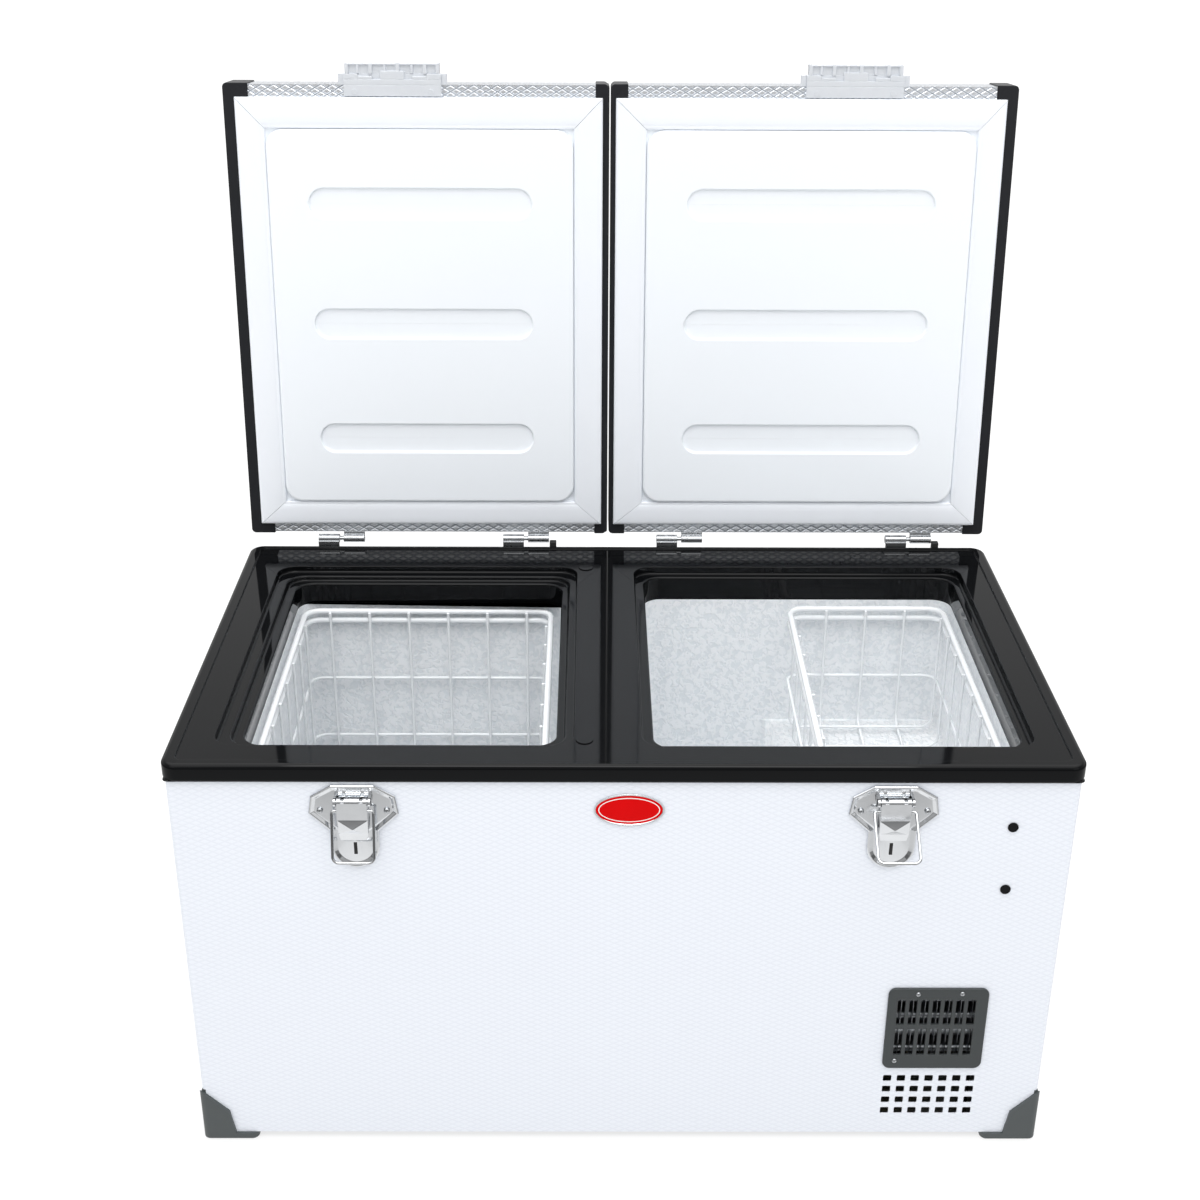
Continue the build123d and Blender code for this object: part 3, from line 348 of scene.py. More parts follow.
def new_piece(name: str, mesh: Mesh, finish: Finish, body: str,
              replaces: Sequence[str] = ()) -> bpy.types.Object:
    """Puts a mesh in the scene as a finished piece.

    Args:
        name: the piece's name.
        mesh: its mesh, already in place, in metres.
        finish: its surface.
        body: the CAD body that it rides on.
        replaces: CAD nodes that it stands for.

    Returns:
        The object.
    """
    piece = bpy.data.objects.new(name, mesh)
    bpy.context.scene.collection.objects.link(piece)
    if not mesh.materials:
        mesh.materials.append(finish.material())
    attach(piece, body)
    if replaces:
        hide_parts(*replaces)
    log.info("piece %s: %d faces on %s", name, len(mesh.polygons), body)
    return piece


def mesh_from(name: str, work: Work, smooth: float = 35.0) -> Mesh:
    """Closes mesh work into a mesh that is shaded smooth below an angle.

    Args:
        name: the mesh's name.
        work: the mesh being built, which is freed.
        smooth: edges sharper than this many degrees stay crisp.

    Returns:
        The mesh.
    """
    bmesh.ops.remove_doubles(work, verts=work.verts, dist=2e-6)
    bmesh.ops.recalc_face_normals(work, faces=work.faces)
    mesh = bpy.data.meshes.new(name)
    work.to_mesh(mesh)
    work.free()
    mesh.shade_smooth()
    mesh.set_sharp_from_angle(angle=math.radians(smooth))
    return mesh


def plain_mesh(source: bpy.types.Object, name: str) -> Mesh:
    """Bakes an object's modifiers into a new mesh and removes the object.

    Args:
        source: the object with its modifiers.
        name: the new mesh's name.

    Returns:
        The evaluated mesh.
    """
    bpy.context.view_layer.update()
    seen = source.evaluated_get(bpy.context.evaluated_depsgraph_get())
    mesh = bpy.data.meshes.new_from_object(seen)
    source.modifiers.clear()
    mesh.name = name
    bpy.data.objects.remove(source)
    return mesh


def bevelled(name: str, work: Work, width: float, segments: int = 2, angle: float = 32.0,
             weight: Weight = None, smooth: float = 38.0) -> Mesh:
    """Rounds the sharp edges of a closed mesh.

    Args:
        name: the mesh's name.
        work: the mesh being built, which is freed.
        width: bevel width in millimetres.
        segments: steps of the bevel.
        angle: edges sharper than this many degrees are rounded.
        weight: share of the width for an edge, from its place.
        smooth: edges sharper than this many degrees stay crisp.

    Returns:
        The rounded mesh.
    """
    if weight:
        layers = work.edges.layers.float
        layer = layers.get("bevel_weight_edge") or layers.new("bevel_weight_edge")
        for edge in work.edges:
            sharp = len(edge.link_faces) == 2 and edge.calc_face_angle(0.0) > math.radians(angle)
            edge[layer] = weight(edge) if sharp else 0.0
    mesh = bpy.data.meshes.new(name)
    work.to_mesh(mesh)
    work.free()
    holder = bpy.data.objects.new(name + ".work", mesh)
    bpy.context.scene.collection.objects.link(holder)
    bevel = holder.modifiers.new("edges", "BEVEL")
    bevel.width = width * MM
    bevel.segments = segments
    bevel.limit_method = "WEIGHT" if weight else "ANGLE"
    bevel.angle_limit = math.radians(angle)
    bevel.use_clamp_overlap = False
    bevel.miter_outer = "MITER_ARC"
    return levelled(plain_mesh(holder, name), smooth)


def levelled(mesh: Mesh, smooth: float) -> Mesh:
    """Shades a mesh so that its large faces stay flat and only the roundings bend the light.

    Args:
        mesh: the mesh, which is replaced.
        smooth: edges sharper than this many degrees stay crisp.

    Returns:
        The mesh with its own normals.
    """
    name = mesh.name
    mesh.name = name + ".raw"
    mesh.shade_smooth()
    mesh.set_sharp_from_angle(angle=math.radians(smooth))
    holder = bpy.data.objects.new(name + ".work", mesh)
    bpy.context.scene.collection.objects.link(holder)
    normals = holder.modifiers.new("normals", "WEIGHTED_NORMAL")
    normals.keep_sharp = True
    normals.weight = 60
    return plain_mesh(holder, name)


def welded(node: str) -> Work:
    """Returns a welded copy of a CAD node's mesh with its flat faces joined up."""
    work = bmesh.new()
    work.from_mesh(bpy.data.objects[node].data)
    bmesh.ops.remove_doubles(work, verts=work.verts, dist=4e-6)
    bmesh.ops.dissolve_limit(work, angle_limit=math.radians(0.8), verts=work.verts, edges=work.edges)
    return work


def soften(node: str, finish: Finish, body: str, width: float, segments: int = 2,
           weight: Weight = None) -> bpy.types.Object:
    """Stands a copy of a CAD node, with its edges broken as the real piece's are, in for the node.

    Args:
        node: the CAD node.
        finish: its surface.
        body: its body.
        width: edge rounding in millimetres, or 0 to keep the edges.
        segments: steps of the rounding.
        weight: share of the width for an edge, from its place.

    Returns:
        The piece.
    """
    work = welded(node)
    name = node + ".finished"
    mesh = bevelled(name, work, width, segments, weight=weight) if width else mesh_from(name, work, 32.0)
    mesh.materials.clear()
    mesh.materials.append(finish.material())
    return new_piece(name, mesh, finish, body, (node,))


def dress(node: str, finish: Finish) -> None:
    """Gives a CAD node that stays in view its finish."""
    shape = bpy.data.objects[node]
    if not shape.material_slots:
        shape.data.materials.append(None)
    for place in shape.material_slots:
        place.material = finish.material()
    log.info("node %s in %s", node, finish.name)


def ring_stack(work: Work, rings: Sequence[Sequence[Vector]], closed: bool = False) -> None:
    """Skins a stack of rings of equal length, capping the ends or joining the last ring to the first.

    Args:
        work: the mesh being built.
        rings: rings of points, in metres.
        closed: whether the stack returns to its first ring.
    """
    loops = [[work.verts.new(point) for point in ring] for ring in rings]
    pairs = list(zip(loops, loops[1:])) + ([(loops[-1], loops[0])] if closed else [])
    for low, high in pairs:
        for i in range(len(low)):
            j = (i + 1) % len(low)
            work.faces.new((low[i], low[j], high[j], high[i]))
    if not closed:
        work.faces.new(list(reversed(loops[0])))
        work.faces.new(loops[-1])


def turned(work: Work, profile: Outline, place: Matrix, steps: int = 32) -> None:
    """Adds a turned shape.

    Args:
        work: the mesh being built.
        profile: radius and distance along the axis in millimetres, from one end to the other.
        place: turns the axis, +Z, into place.
        steps: sides of the round.
    """
    rings = []
    for radius, reach in profile:
        ring = []
        for k in range(steps):
            turn = 2 * math.pi * k / steps
            ring.append(place @ metres(radius * math.cos(turn), radius * math.sin(turn), reach))
        rings.append(ring)
    ring_stack(work, rings)


def slab(work: Work, low: Vector, high: Vector, place: Matrix) -> None:
    """Adds a rectangular block between two corners given in metres."""
    corners = [(low.x, low.y), (high.x, low.y), (high.x, high.y), (low.x, high.y)]
    rings = [[place @ Vector((x, y, z)) for x, y in corners] for z in (low.z, high.z)]
    ring_stack(work, rings)


# Geometry Nodes ------------------------------------------------------------------------------------

SOCKET_KINDS = {float: "NodeSocketFloat", int: "NodeSocketInt", tuple: "NodeSocketVector"}
ORIGIN = (0.0, 0.0, 0.0)


class NodeRecipe:
    """A Geometry Nodes tree with named sizes, run once and turned into a plain mesh.

    Subclasses add their nodes in `shape` and name their sizes, with a default each, in `sizes`.
    """

    title = "recipe"
    sizes: dict[str, Any] = {}

    def __init__(self, finish: Finish) -> None:
        """Builds the tree for one finish."""
        tree = bpy.data.node_groups.new(self.title, "GeometryNodeTree")
        tree.interface.new_socket("Geometry", in_out="INPUT", socket_type="NodeSocketGeometry")
        for name, default in self.sizes.items():
            socket = tree.interface.new_socket(name, in_out="INPUT", socket_type=SOCKET_KINDS[type(default)])
            socket.default_value = default
        tree.interface.new_socket("Geometry", in_out="OUTPUT", socket_type="NodeSocketGeometry")
        self.tree = tree
        self.given = add_node(tree, "NodeGroupInput").outputs
        shaded = add_node(tree, "GeometryNodeSetShadeSmooth", {"Geometry": self.shape()})
        real = add_node(tree, "GeometryNodeRealizeInstances", {"Geometry": shaded.outputs[0]})
        dressed = add_node(tree, "GeometryNodeSetMaterial",
                           {"Geometry": real.outputs[0], "Material": finish.material()})
        add_node(tree, "NodeGroupOutput", {"Geometry": dressed.outputs[0]})

    def shape(self) -> Socket:
        """Adds the recipe's own nodes and returns their geometry."""
        raise NotImplementedError

    def run(self, name: str, values: dict[str, Any], points: Sequence[Vector] = ()) -> Mesh:
        """Runs the tree with one set of sizes.

        Args:
            name: the mesh's name.
            values: sizes by their socket's name.
            points: places that the tree works on, in metres.

        Returns:
            The plain mesh.
        """
        base = bpy.data.meshes.new(name + ".points")
        base.from_pydata([tuple(point) for point in points] or [ORIGIN], [], [])
        holder = bpy.data.objects.new(name + ".work", base)
        bpy.context.scene.collection.objects.link(holder)
        modifier = holder.modifiers.new(self.title, "NODES")
        modifier.node_group = self.tree
        identifiers = {item.name: item.identifier for item in self.tree.interface.items_tree
                       if getattr(item, "in_out", "") == "INPUT"}
        for key, value in values.items():
            modifier[identifiers[key]] = value
        holder.update_tag()
        return plain_mesh(holder, name)


class WireRow(NodeRecipe):
    """Round wires of one bent shape in an even row.

    Subclasses give the unbent path of one wire in `path` and the sides of its round in `sides`.
    """

    sizes = {"Bend Radius": 0.02, "Wire Radius": 0.002, "Count": 2, "Step": (0.0, 0.0, 0.1), "Start": ORIGIN,
             "Turn": 0.0}
    sides = 8

    def path(self) -> Socket:
        """Adds the nodes of one wire's path and returns its curve."""
        raise NotImplementedError

    def shape(self) -> Socket:
        """Bends the path, gives it its wire and sets it on a line of points."""
        tree, given = self.tree, self.given
        bent = add_node(tree, "GeometryNodeFilletCurve",
                        {"Curve": self.path(), "Radius": given["Bend Radius"], "Count": 6}, mode="POLY")
        section = add_node(tree, "GeometryNodeCurvePrimitiveCircle",
                           {"Resolution": self.sides, "Radius": given["Wire Radius"]})
        wire = add_node(tree, "GeometryNodeCurveToMesh",
                        {"Curve": bent.outputs[0], "Profile Curve": section.outputs[0], "Fill Caps": True})
        rows = add_node(tree, "GeometryNodeMeshLine",
                        {"Count": given["Count"], "Start Location": given["Start"], "Offset": given["Step"]})
        turn = add_node(tree, "ShaderNodeCombineXYZ", {"Z": given["Turn"]})
        wires = add_node(tree, "GeometryNodeInstanceOnPoints", {"Points": rows.outputs[0],
                                                                "Instance": wire.outputs[0],
                                                                "Rotation": turn.outputs[0]})
        return wires.outputs[0]


class WireRings(WireRow):
    """Closed rectangular wire rings with bent corners, repeated upwards."""

    title = "wire_rings"
    sizes = {"Width": 0.3, "Depth": 0.3} | WireRow.sizes
    sides = 10

    def path(self) -> Socket:
        """Adds a rectangle."""
        loop = add_node(self.tree, "GeometryNodeCurvePrimitiveQuadrilateral",
                        {"Width": self.given["Width"], "Height": self.given["Depth"]})
        return loop.outputs[0]


class WireHoops(WireRow):
    """U-shaped wires that run down one wall, under the floor and up the other, repeated sideways."""

    title = "wire_hoops"
    sizes = {"Span": 0.3, "Drop": 0.3} | WireRow.sizes

    def path(self) -> Socket:
        """Places the four corners of a hoop by their index and joins them."""
        tree, drop = self.tree, self.given["Drop"]
        half, back = [add_node(tree, "ShaderNodeMath", {0: self.given["Span"], 1: share},
                               operation="MULTIPLY").outputs[0] for share in (0.5, -0.5)]
        pick = add_node(tree, "GeometryNodeIndexSwitch", data_type="VECTOR")
        corners = ({"X": back, "Z": drop}, {"X": back}, {"X": half}, {"X": half, "Z": drop})
        while len(pick.index_switch_items) < len(corners):
            pick.index_switch_items.new()
        tree.links.new(add_node(tree, "GeometryNodeInputIndex").outputs[0], pick.inputs[0])
        for place, values in enumerate(corners):
            corner = add_node(tree, "ShaderNodeCombineXYZ", values)
            tree.links.new(corner.outputs[0], pick.inputs[place + 1])
        line = add_node(tree, "GeometryNodeMeshLine", {"Count": len(corners)})
        path = add_node(tree, "GeometryNodeSetPosition",
                        {"Geometry": line.outputs[0], "Position": pick.outputs[0]})
        return add_node(tree, "GeometryNodeMeshToCurve", {"Mesh": path.outputs[0]}).outputs[0]


class ScrewHeads(NodeRecipe):
    """Pan heads with a cross recess, one on each given point."""

    title = "screw_heads"
    sizes = {"Head Radius": 0.003, "Head Height": 0.0015, "Recess Width": 0.0008, "Facing": ORIGIN}
    recess_reach = 1.1

    def shape(self) -> Socket:
        """Turns a domed head, cuts its cross and sets it on the points."""
        tree, given = self.tree, self.given
        radius, rise = given["Head Radius"], given["Head Height"]
        ball = add_node(tree, "GeometryNodeMeshUVSphere", {"Segments": 20, "Rings": 10, "Radius": radius})
        flat = add_node(tree, "ShaderNodeMath", {0: rise, 1: radius}, operation="DIVIDE")
        shape = add_node(tree, "ShaderNodeCombineXYZ", {"X": 1.0, "Y": 1.0, "Z": flat.outputs[0]})
        head = add_node(tree, "GeometryNodeTransform",
                        {"Geometry": ball.outputs[0], "Scale": shape.outputs[0]})
        length = add_node(tree, "ShaderNodeMath", {0: radius, 1: self.recess_reach}, operation="MULTIPLY")
        lift = add_node(tree, "ShaderNodeCombineXYZ", {"Z": rise})
        recess = []
        for along, across in (("X", "Y"), ("Y", "X")):
            size = add_node(tree, "ShaderNodeCombineXYZ",
                            {along: length.outputs[0], across: given["Recess Width"], "Z": rise})
            bar = add_node(tree, "GeometryNodeMeshCube", {"Size": size.outputs[0]})
            recess.append(add_node(tree, "GeometryNodeTransform",
                                   {"Geometry": bar.outputs[0], "Translation": lift.outputs[0]}).outputs[0])
        cut = add_node(tree, "GeometryNodeMeshBoolean", {"Mesh 1": head.outputs[0]}, operation="DIFFERENCE")
        for bar in recess:
            tree.links.new(bar, cut.inputs["Mesh 2"])
        heads = add_node(tree, "GeometryNodeInstanceOnPoints", {"Points": given["Geometry"],
                                                                "Instance": cut.outputs[0],
                                                                "Rotation": given["Facing"]})
        return heads.outputs[0]


# Sub-assemblies ------------------------------------------------------------------------------------

@dataclass
class Cabinet:
    """Embossed sheet cabinet, its base, insulation, corner guards and covers."""

    cap_edge: float = 0.35

    def build(self) -> None:
        """Dresses the sheets and rounds the mouldings."""
        for node in ("cabinet_front_panel", "cabinet_rear_panel", "cabinet_side_panels"):
            soften(node, COATED_STEEL, "root", 0.0)
        dress("base_pan", GALVANISED_STEEL)
        dress("insulation_foam", POLYURETHANE_FOAM)
        dress("evaporators", FIN_ALUMINIUM)
        dress("corner_guards", GUARD_POLYPROPYLENE)
        soften("cover_caps", GLOSS_BLACK_ABS, "root", self.cap_edge)
        for side in ("left", "right"):
            soften(f"liner_{side}", STUCCO_ALUMINIUM, "root", 0.0)


@dataclass
class Rim:
    """Gloss black moulded rim with a raised bead and two stepped throats."""

    ledge_edge: float = 2.6
    bead_share: float = 0.32
    bead_depth: float = 3.0

    def build(self) -> None:
        """Rounds the ledges generously and the low bead a little."""
        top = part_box("rim_collar")[1].z

        def share(edge: Edge) -> float:
            """Returns how much of the rounding an edge gets."""
            height = (edge.verts[0].co.z + edge.verts[1].co.z) / 2
            return self.bead_share if height > top - self.bead_depth * MM else 1.0

        soften("rim_collar", GLOSS_BLACK_ABS, "root", self.ledge_edge, 4, share)


@dataclass(frozen=True)
class Keeper:
    """Sizes of the cast keeper on a lid's front edge, in millimetres.

    Attributes:
        half: half the apron's width.
        lip_half: half the width of the lip past the lid's edge.
        ear_half: reach of the two side ears.
        lip_depth: how far the lip stands past the apron.
        notch_depth: depth of the notches along the apron's edge.
        apron: thickness of the thin apron.
        bar: thickness of the thick bar below the notches.
        notch_floor: depth of the notches' floor below the face.
        web: thickness of the thin sheet behind the lip's ribs.
        flange: width of the lip's outer flange.
        flange_span: depths between which the flange lies.
        pads: start, end and reach past the lip of each pad between the notches.
        ribs: centres of the ribs across the lip.
        rib_width: width of each rib.
        rib_span: depths between which the ribs lie.
        recess: depth of the ears' tops and of the pins' centres below the face.
        pins: centres of the pins in the lip's pockets.
        pin_radius: radius of each pin.
        edge: rounding of every edge.
    """

    half: float = 54.0
    lip_half: float = 52.0
    ear_half: float = 60.0
    lip_depth: float = 11.0
    notch_depth: float = 6.0
    apron: float = 3.2
    bar: float = 8.2
    notch_floor: float = 3.0
    web: float = 1.5
    flange: float = 1.6
    flange_span: tuple[float, float] = (-11.2, -0.4)
    pads: tuple[tuple[float, float, float], ...] = (
        (-54, -38, 0), (-38, -22, -2.5), (-13, 13, 3.0), (22, 38, -2.5), (38, 54, 0))
    ribs: tuple[float, ...] = (-54, -24, 6, 36, 54)
    rib_width: float = 4.0
    rib_span: tuple[float, float] = (-9.2, -0.2)
    recess: float = 2.4
    pins: tuple[float, ...] = (-38, -8.5, 21.5)
    pin_radius: float = 1.7
    edge: float = 0.5


@dataclass
class Lid:
    """One rear-hinged lid: embossed skin, white inner panel, mitred seal, trims, catch and leaves."""

    side: str
    hinge: dict
    raised: tuple[float, float]
    raised_run: tuple[float, float] = (41.5, 472.0)
    seal_run: tuple[float, float] = (13.0, 506.0)
    rear_gap: float = 6.5
    panel_edge: float = 1.5
    trim_edge: float = 0.7
    trim_growth: float = 1.3
    leaf_edge: float = 0.4
    mitre_gap: float = 0.25
    seal_rise: float = 5.4
    seal_section: tuple[tuple[float, float], ...] = (
        (0.0, 0.0), (0.0, 0.6), (0.02, 0.82), (0.06, 0.94), (0.12, 0.98), (0.3, 1.0), (0.6, 1.0),
        (0.80, 0.96), (0.86, 0.80), (0.89, 0.80), (0.95, 0.78), (0.985, 0.6), (1.0, 0.3), (1.0, 0.0))
    keeper: Keeper = Keeper()

    @property
    def body(self) -> str:
        """The lid's CAD body."""
        return f"lid_{self.side}"

    def face(self) -> Matrix:
        """Returns the place of the open inner face: X across, Y along it from the hinge, Z out of it."""
        _, y, z = self.hinge["pos_m"]
        opened = Matrix.Rotation(math.radians(self.hinge["range_deg"][0]), 4, "X")
        turned_over = Matrix.Rotation(math.pi, 4, "X")
        past_hinge = Matrix.Translation((0, self.rear_gap * MM, 0))
        return Matrix.Translation((0, y, z)) @ opened @ turned_over @ past_hinge

    def bar(self, work: Work, outer: Outline, inner: Outline) -> None:
        """Adds one bar of the seal, pulled back a hair from each mitre.

        Args:
            work: the mesh being built.
            outer: the ends of the bar's outer edge, in millimetres on the inner face.
            inner: the ends of its inner edge.
        """
        place = self.face()
        pull = (Vector(outer[1]) - Vector(outer[0])).normalized() * self.mitre_gap
        rings = []
        for end, back in ((0, pull), (1, -pull)):
            ring = []
            for share, rise in self.seal_section:
                flat = Vector(outer[end]).lerp(Vector(inner[end]), share) + back
                ring.append(place @ metres(flat.x, flat.y, rise * self.seal_rise))
            rings.append(ring)
        ring_stack(work, rings)

    def seal(self) -> None:
        """Builds the flat seal as four mitred bars between the raised panel and the lid's edges."""
        node = f"lid_gasket_{self.side}"
        low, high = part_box(node)
        x0, x1 = low.x / MM, high.x / MM
        near, far = self.seal_run
        in0, in1 = self.raised[0] - 0.5, self.raised[1] + 0.5
        in_near, in_far = self.raised_run[0] - 0.5, self.raised_run[1] + 0.5
        outer = [(x0, near), (x1, near), (x1, far), (x0, far)]
        inner = [(in0, in_near), (in1, in_near), (in1, in_far), (in0, in_far)]
        work = bmesh.new()
        for k in range(4):
            after = (k + 1) % 4
            self.bar(work, [outer[k], outer[after]], [inner[k], inner[after]])
        name = node + ".finished"
        new_piece(name, mesh_from(name, work, 40.0), PVC_SEAL, self.body, (node,))

    def catch(self) -> None:
        """Builds the cast keeper: a notched apron on the inner face and a ribbed lip past the lid's edge."""
        node = f"lid_catch_{self.side}"
        place = self.face()
        back = place.inverted()
        points = [back @ vertex.co for vertex in bpy.data.objects[node].data.vertices]
        low = Vector([min(point[i] for point in points) for i in range(3)]) / MM
        high = Vector([max(point[i] for point in points) for i in range(3)]) / MM
        cast = self.keeper
        lip, end, face = high.y - cast.lip_depth, high.y, high.z
        notch = lip - cast.notch_depth
        bar = notch - cast.notch_depth
        half, lip_half = cast.half, cast.lip_half
        blocks = [(-half, half, low.y, bar, -cast.apron, 0), (-half, half, bar, notch, -cast.bar, 0),
                  (-half, half, notch, lip, -cast.bar, -cast.notch_floor),
                  (-lip_half, lip_half, lip, end, -cast.apron - cast.web, -cast.apron),
                  (-lip_half, lip_half, end - cast.flange, end, *cast.flange_span)]
        for left, right, reach in cast.pads:
            blocks.append((left, right, notch, lip + reach, -cast.apron, 0))
        for rib in cast.ribs:
            start = max(-lip_half, min(rib - cast.rib_width / 2, lip_half - cast.rib_width))
            blocks.append((start, start + cast.rib_width, lip, end, *cast.rib_span))
        for left, right in ((-cast.ear_half, -half), (half, cast.ear_half)):
            blocks.append((left, right, bar, lip, -cast.bar, -cast.recess))
        middle = (low.x + high.x) / 2
        work = bmesh.new()
        for x0, x1, y0, y1, z0, z1 in blocks:
            slab(work, metres(middle + x0, y0, face + z0), metres(middle + x1, y1, face + z1), place)
        for at in cast.pins:
            root = Matrix.Translation(metres(middle + at, lip, face - cast.recess))
            pin = place @ root @ Matrix.Rotation(-math.pi / 2, 4, "X")
            turned(work, [(cast.pin_radius, 0.5), (cast.pin_radius, cast.lip_depth - 1.0)], pin, 16)
        name = node + ".finished"
        new_piece(name, bevelled(name, work, cast.edge), SATIN_ZINC, self.body, (node,))

    def thicken(self, mesh: Mesh) -> None:
        """Pushes the trim's wall beside the other lid outwards, so that only a narrow gap stays between."""
        inner = min((vertex.co.x for vertex in mesh.vertices), key=abs)
        push = -math.copysign(self.trim_growth * MM, inner)
        for vertex in mesh.vertices:
            if abs(vertex.co.x - inner) < self.trim_edge * 1.2 * MM:
                vertex.co.x += push

    def build(self) -> None:
        """Builds the seal and finishes the rest of the lid."""
        side, body = self.side, self.body
        soften(f"lid_skin_{side}", EMBOSSED_ALUMINIUM, body, 0.0)
        dress(f"lid_foam_{side}", POLYURETHANE_FOAM)
        soften(f"lid_panel_{side}", WHITE_ABS, body, self.panel_edge, 3)
        self.seal()
        trims = soften(f"lid_trims_{side}", SATIN_BLACK_PLASTIC, body, self.trim_edge)
        self.thicken(trims.data)
        self.catch()
        soften(f"lid_leaves_{side}", STAINLESS_STEEL, body, self.leaf_edge)
        soften(f"lid_fasteners_{side}", SATIN_ZINC, body, 0.2)


@dataclass
class Latch:
    """One draw latch: cast backplate with ears, faceted lever on its pin, and the wire bail."""

    side: str
    pivot: Vector
    plate_back: float = 8.0
    wall: float = 2.1
    half_lever: float = 14.5
    thick: float = 4.2
    pyramid_rise: float = 2.6
    plate_crown: float = 2.1
    shoulder: tuple[tuple[float, float], ...] = (
        (-20.5, 15.0), (-40.5, 2.8), (-43.5, -16.6), (-23.4, -36.0), (-23.4, -54.6))
    column_end: float = -78.0
    border_steps: tuple[tuple[float, float], ...] = ((1.0, 0.9), (1.5, 0.0), (3.4, -1.7))
    ear_centre: float = 16.55
    ear_thick: float = 2.5
    ear_radius: float = 4.5
    slot_run: tuple[float, float] = (-62.0, -49.0)
    slot_half: float = 1.6
    slot_reach: tuple[float, float] = (-6.6, -4.9)
    eye_place: tuple[float, float, float] = (1.0, -57.0, -7.0)
    eye_half: float = 5.0
    eye_rise: float = 4.0
    eye_wire: float = 1.1
    lever_bands: tuple[float, float, float] = (-18.0, -34.0, -41.5)
    pyramid_top: float = -27.0
    barrels: tuple[tuple[float, float], ...] = ((-14.5, -10.4), (-7.4, 7.4), (10.4, 14.5))

    def place(self) -> Matrix:
        """Returns the latch's own axes: X across, Y up, Z out of the front."""
        return Matrix.Translation(self.pivot) @ Matrix.Rotation(math.pi / 2, 4, "X")

    def outline(self) -> Outline:
        """Returns the backplate's edge, from one shoulder round the column's end to the other."""
        left = list(self.shoulder)
        half, start = -left[-1][0], left[-1][1]
        sag = start - self.column_end
        radius = (half ** 2 + sag ** 2) / (2 * sag)
        reach = math.asin(min(half / radius, 1.0))
        arc = []
        steps = 14
        for k in range(1, steps):
            turn = -reach + 2 * reach * k / steps
            arc.append((radius * math.sin(turn), self.column_end + radius - radius * math.cos(turn)))
        return left + arc + [(-x, y) for x, y in reversed(left)]

    def backplate(self) -> None:
        """Builds the backplate with a raised border and sloped inner facets, its ears and its pocket."""
        place = self.place()
        work = bmesh.new()
        back = -self.plate_back
        loop = [work.verts.new(place @ metres(x, y, back)) for x, y in self.outline()]
        face = work.faces.new(loop)
        grown = bmesh.ops.extrude_face_region(work, geom=[face])["geom"]
        front = [g for g in grown if isinstance(g, bmesh.types.BMFace)][0]
        out = place.to_3x3() @ Vector((0, 0, self.wall * MM))
        bmesh.ops.translate(work, verts=front.verts, vec=out)
        bmesh.ops.recalc_face_normals(work, faces=work.faces)
        for inset, rise in self.border_steps:
            bmesh.ops.inset_region(work, faces=[front], thickness=inset * MM, depth=rise * MM)
        bmesh.ops.poke(work, faces=[front], offset=self.plate_crown * MM, center_mode="MEAN")
        round_ear, half = self.ear_radius, self.ear_thick / 2
        sideways = Matrix.Rotation(math.pi / 2, 4, "Y")
        for sign in (-1, 1):
            centre = sign * self.ear_centre
            low = metres(centre - half, -round_ear, 1.0 - self.plate_back)
            slab(work, low, metres(centre + half, round_ear, 0.0), place)
            ear = place @ Matrix.Translation(metres(centre - half, 0, 0)) @ sideways
            turned(work, [(round_ear, 0.0), (round_ear, self.ear_thick)], ear, 24)
        name = f"latch_base_{self.side}.finished"
        mesh = bevelled(name, work, 0.35, 2, 25.0, smooth=3.0)
        new_piece(name, mesh, CHROMED_ZINC, "root", ("latch_bases",))

    def padlock_eye(self) -> None:
        """Adds a block of dark rubber as painted shade where the padlock slot lies below the lever, and the
        bright eye that stands in it.
        """
        place = self.place()
        work = bmesh.new()
        (low, high), side = self.slot_run, self.slot_half
        outline = ((-side, high), (side, high), (side, low), (-side, low))
        ring_stack(work, [[place @ metres(x, y, reach) for x, y in outline] for reach in self.slot_reach])
        name = f"latch_slot_{self.side}"
        # The near-black rubber block is painted shade for the inside of the padlock slot.
        new_piece(name, mesh_from(name, work), MOUNT_RUBBER, "root")
        work = bmesh.new()
        eye = place @ Matrix.Translation(metres(*self.eye_place)) @ Matrix.Rotation(math.pi / 2, 4, "Y")
        rings = []
        for k in range(9):
            turn = math.pi * k / 8
            ring = []
            for j in range(8):
                round_turn = 2 * math.pi * j / 8
                reach = self.eye_wire * math.cos(round_turn)
                across = self.eye_half * math.cos(turn) + math.cos(turn) * reach
                upward = self.eye_rise * math.sin(turn) + math.sin(turn) * reach
                ring.append(eye @ metres(upward, -across, self.eye_wire * math.sin(round_turn)))
            rings.append(ring)
        ring_stack(work, rings)
        name = f"latch_eye_{self.side}"
        new_piece(name, mesh_from(name, work, 60.0), CHROMED_ZINC, "root")

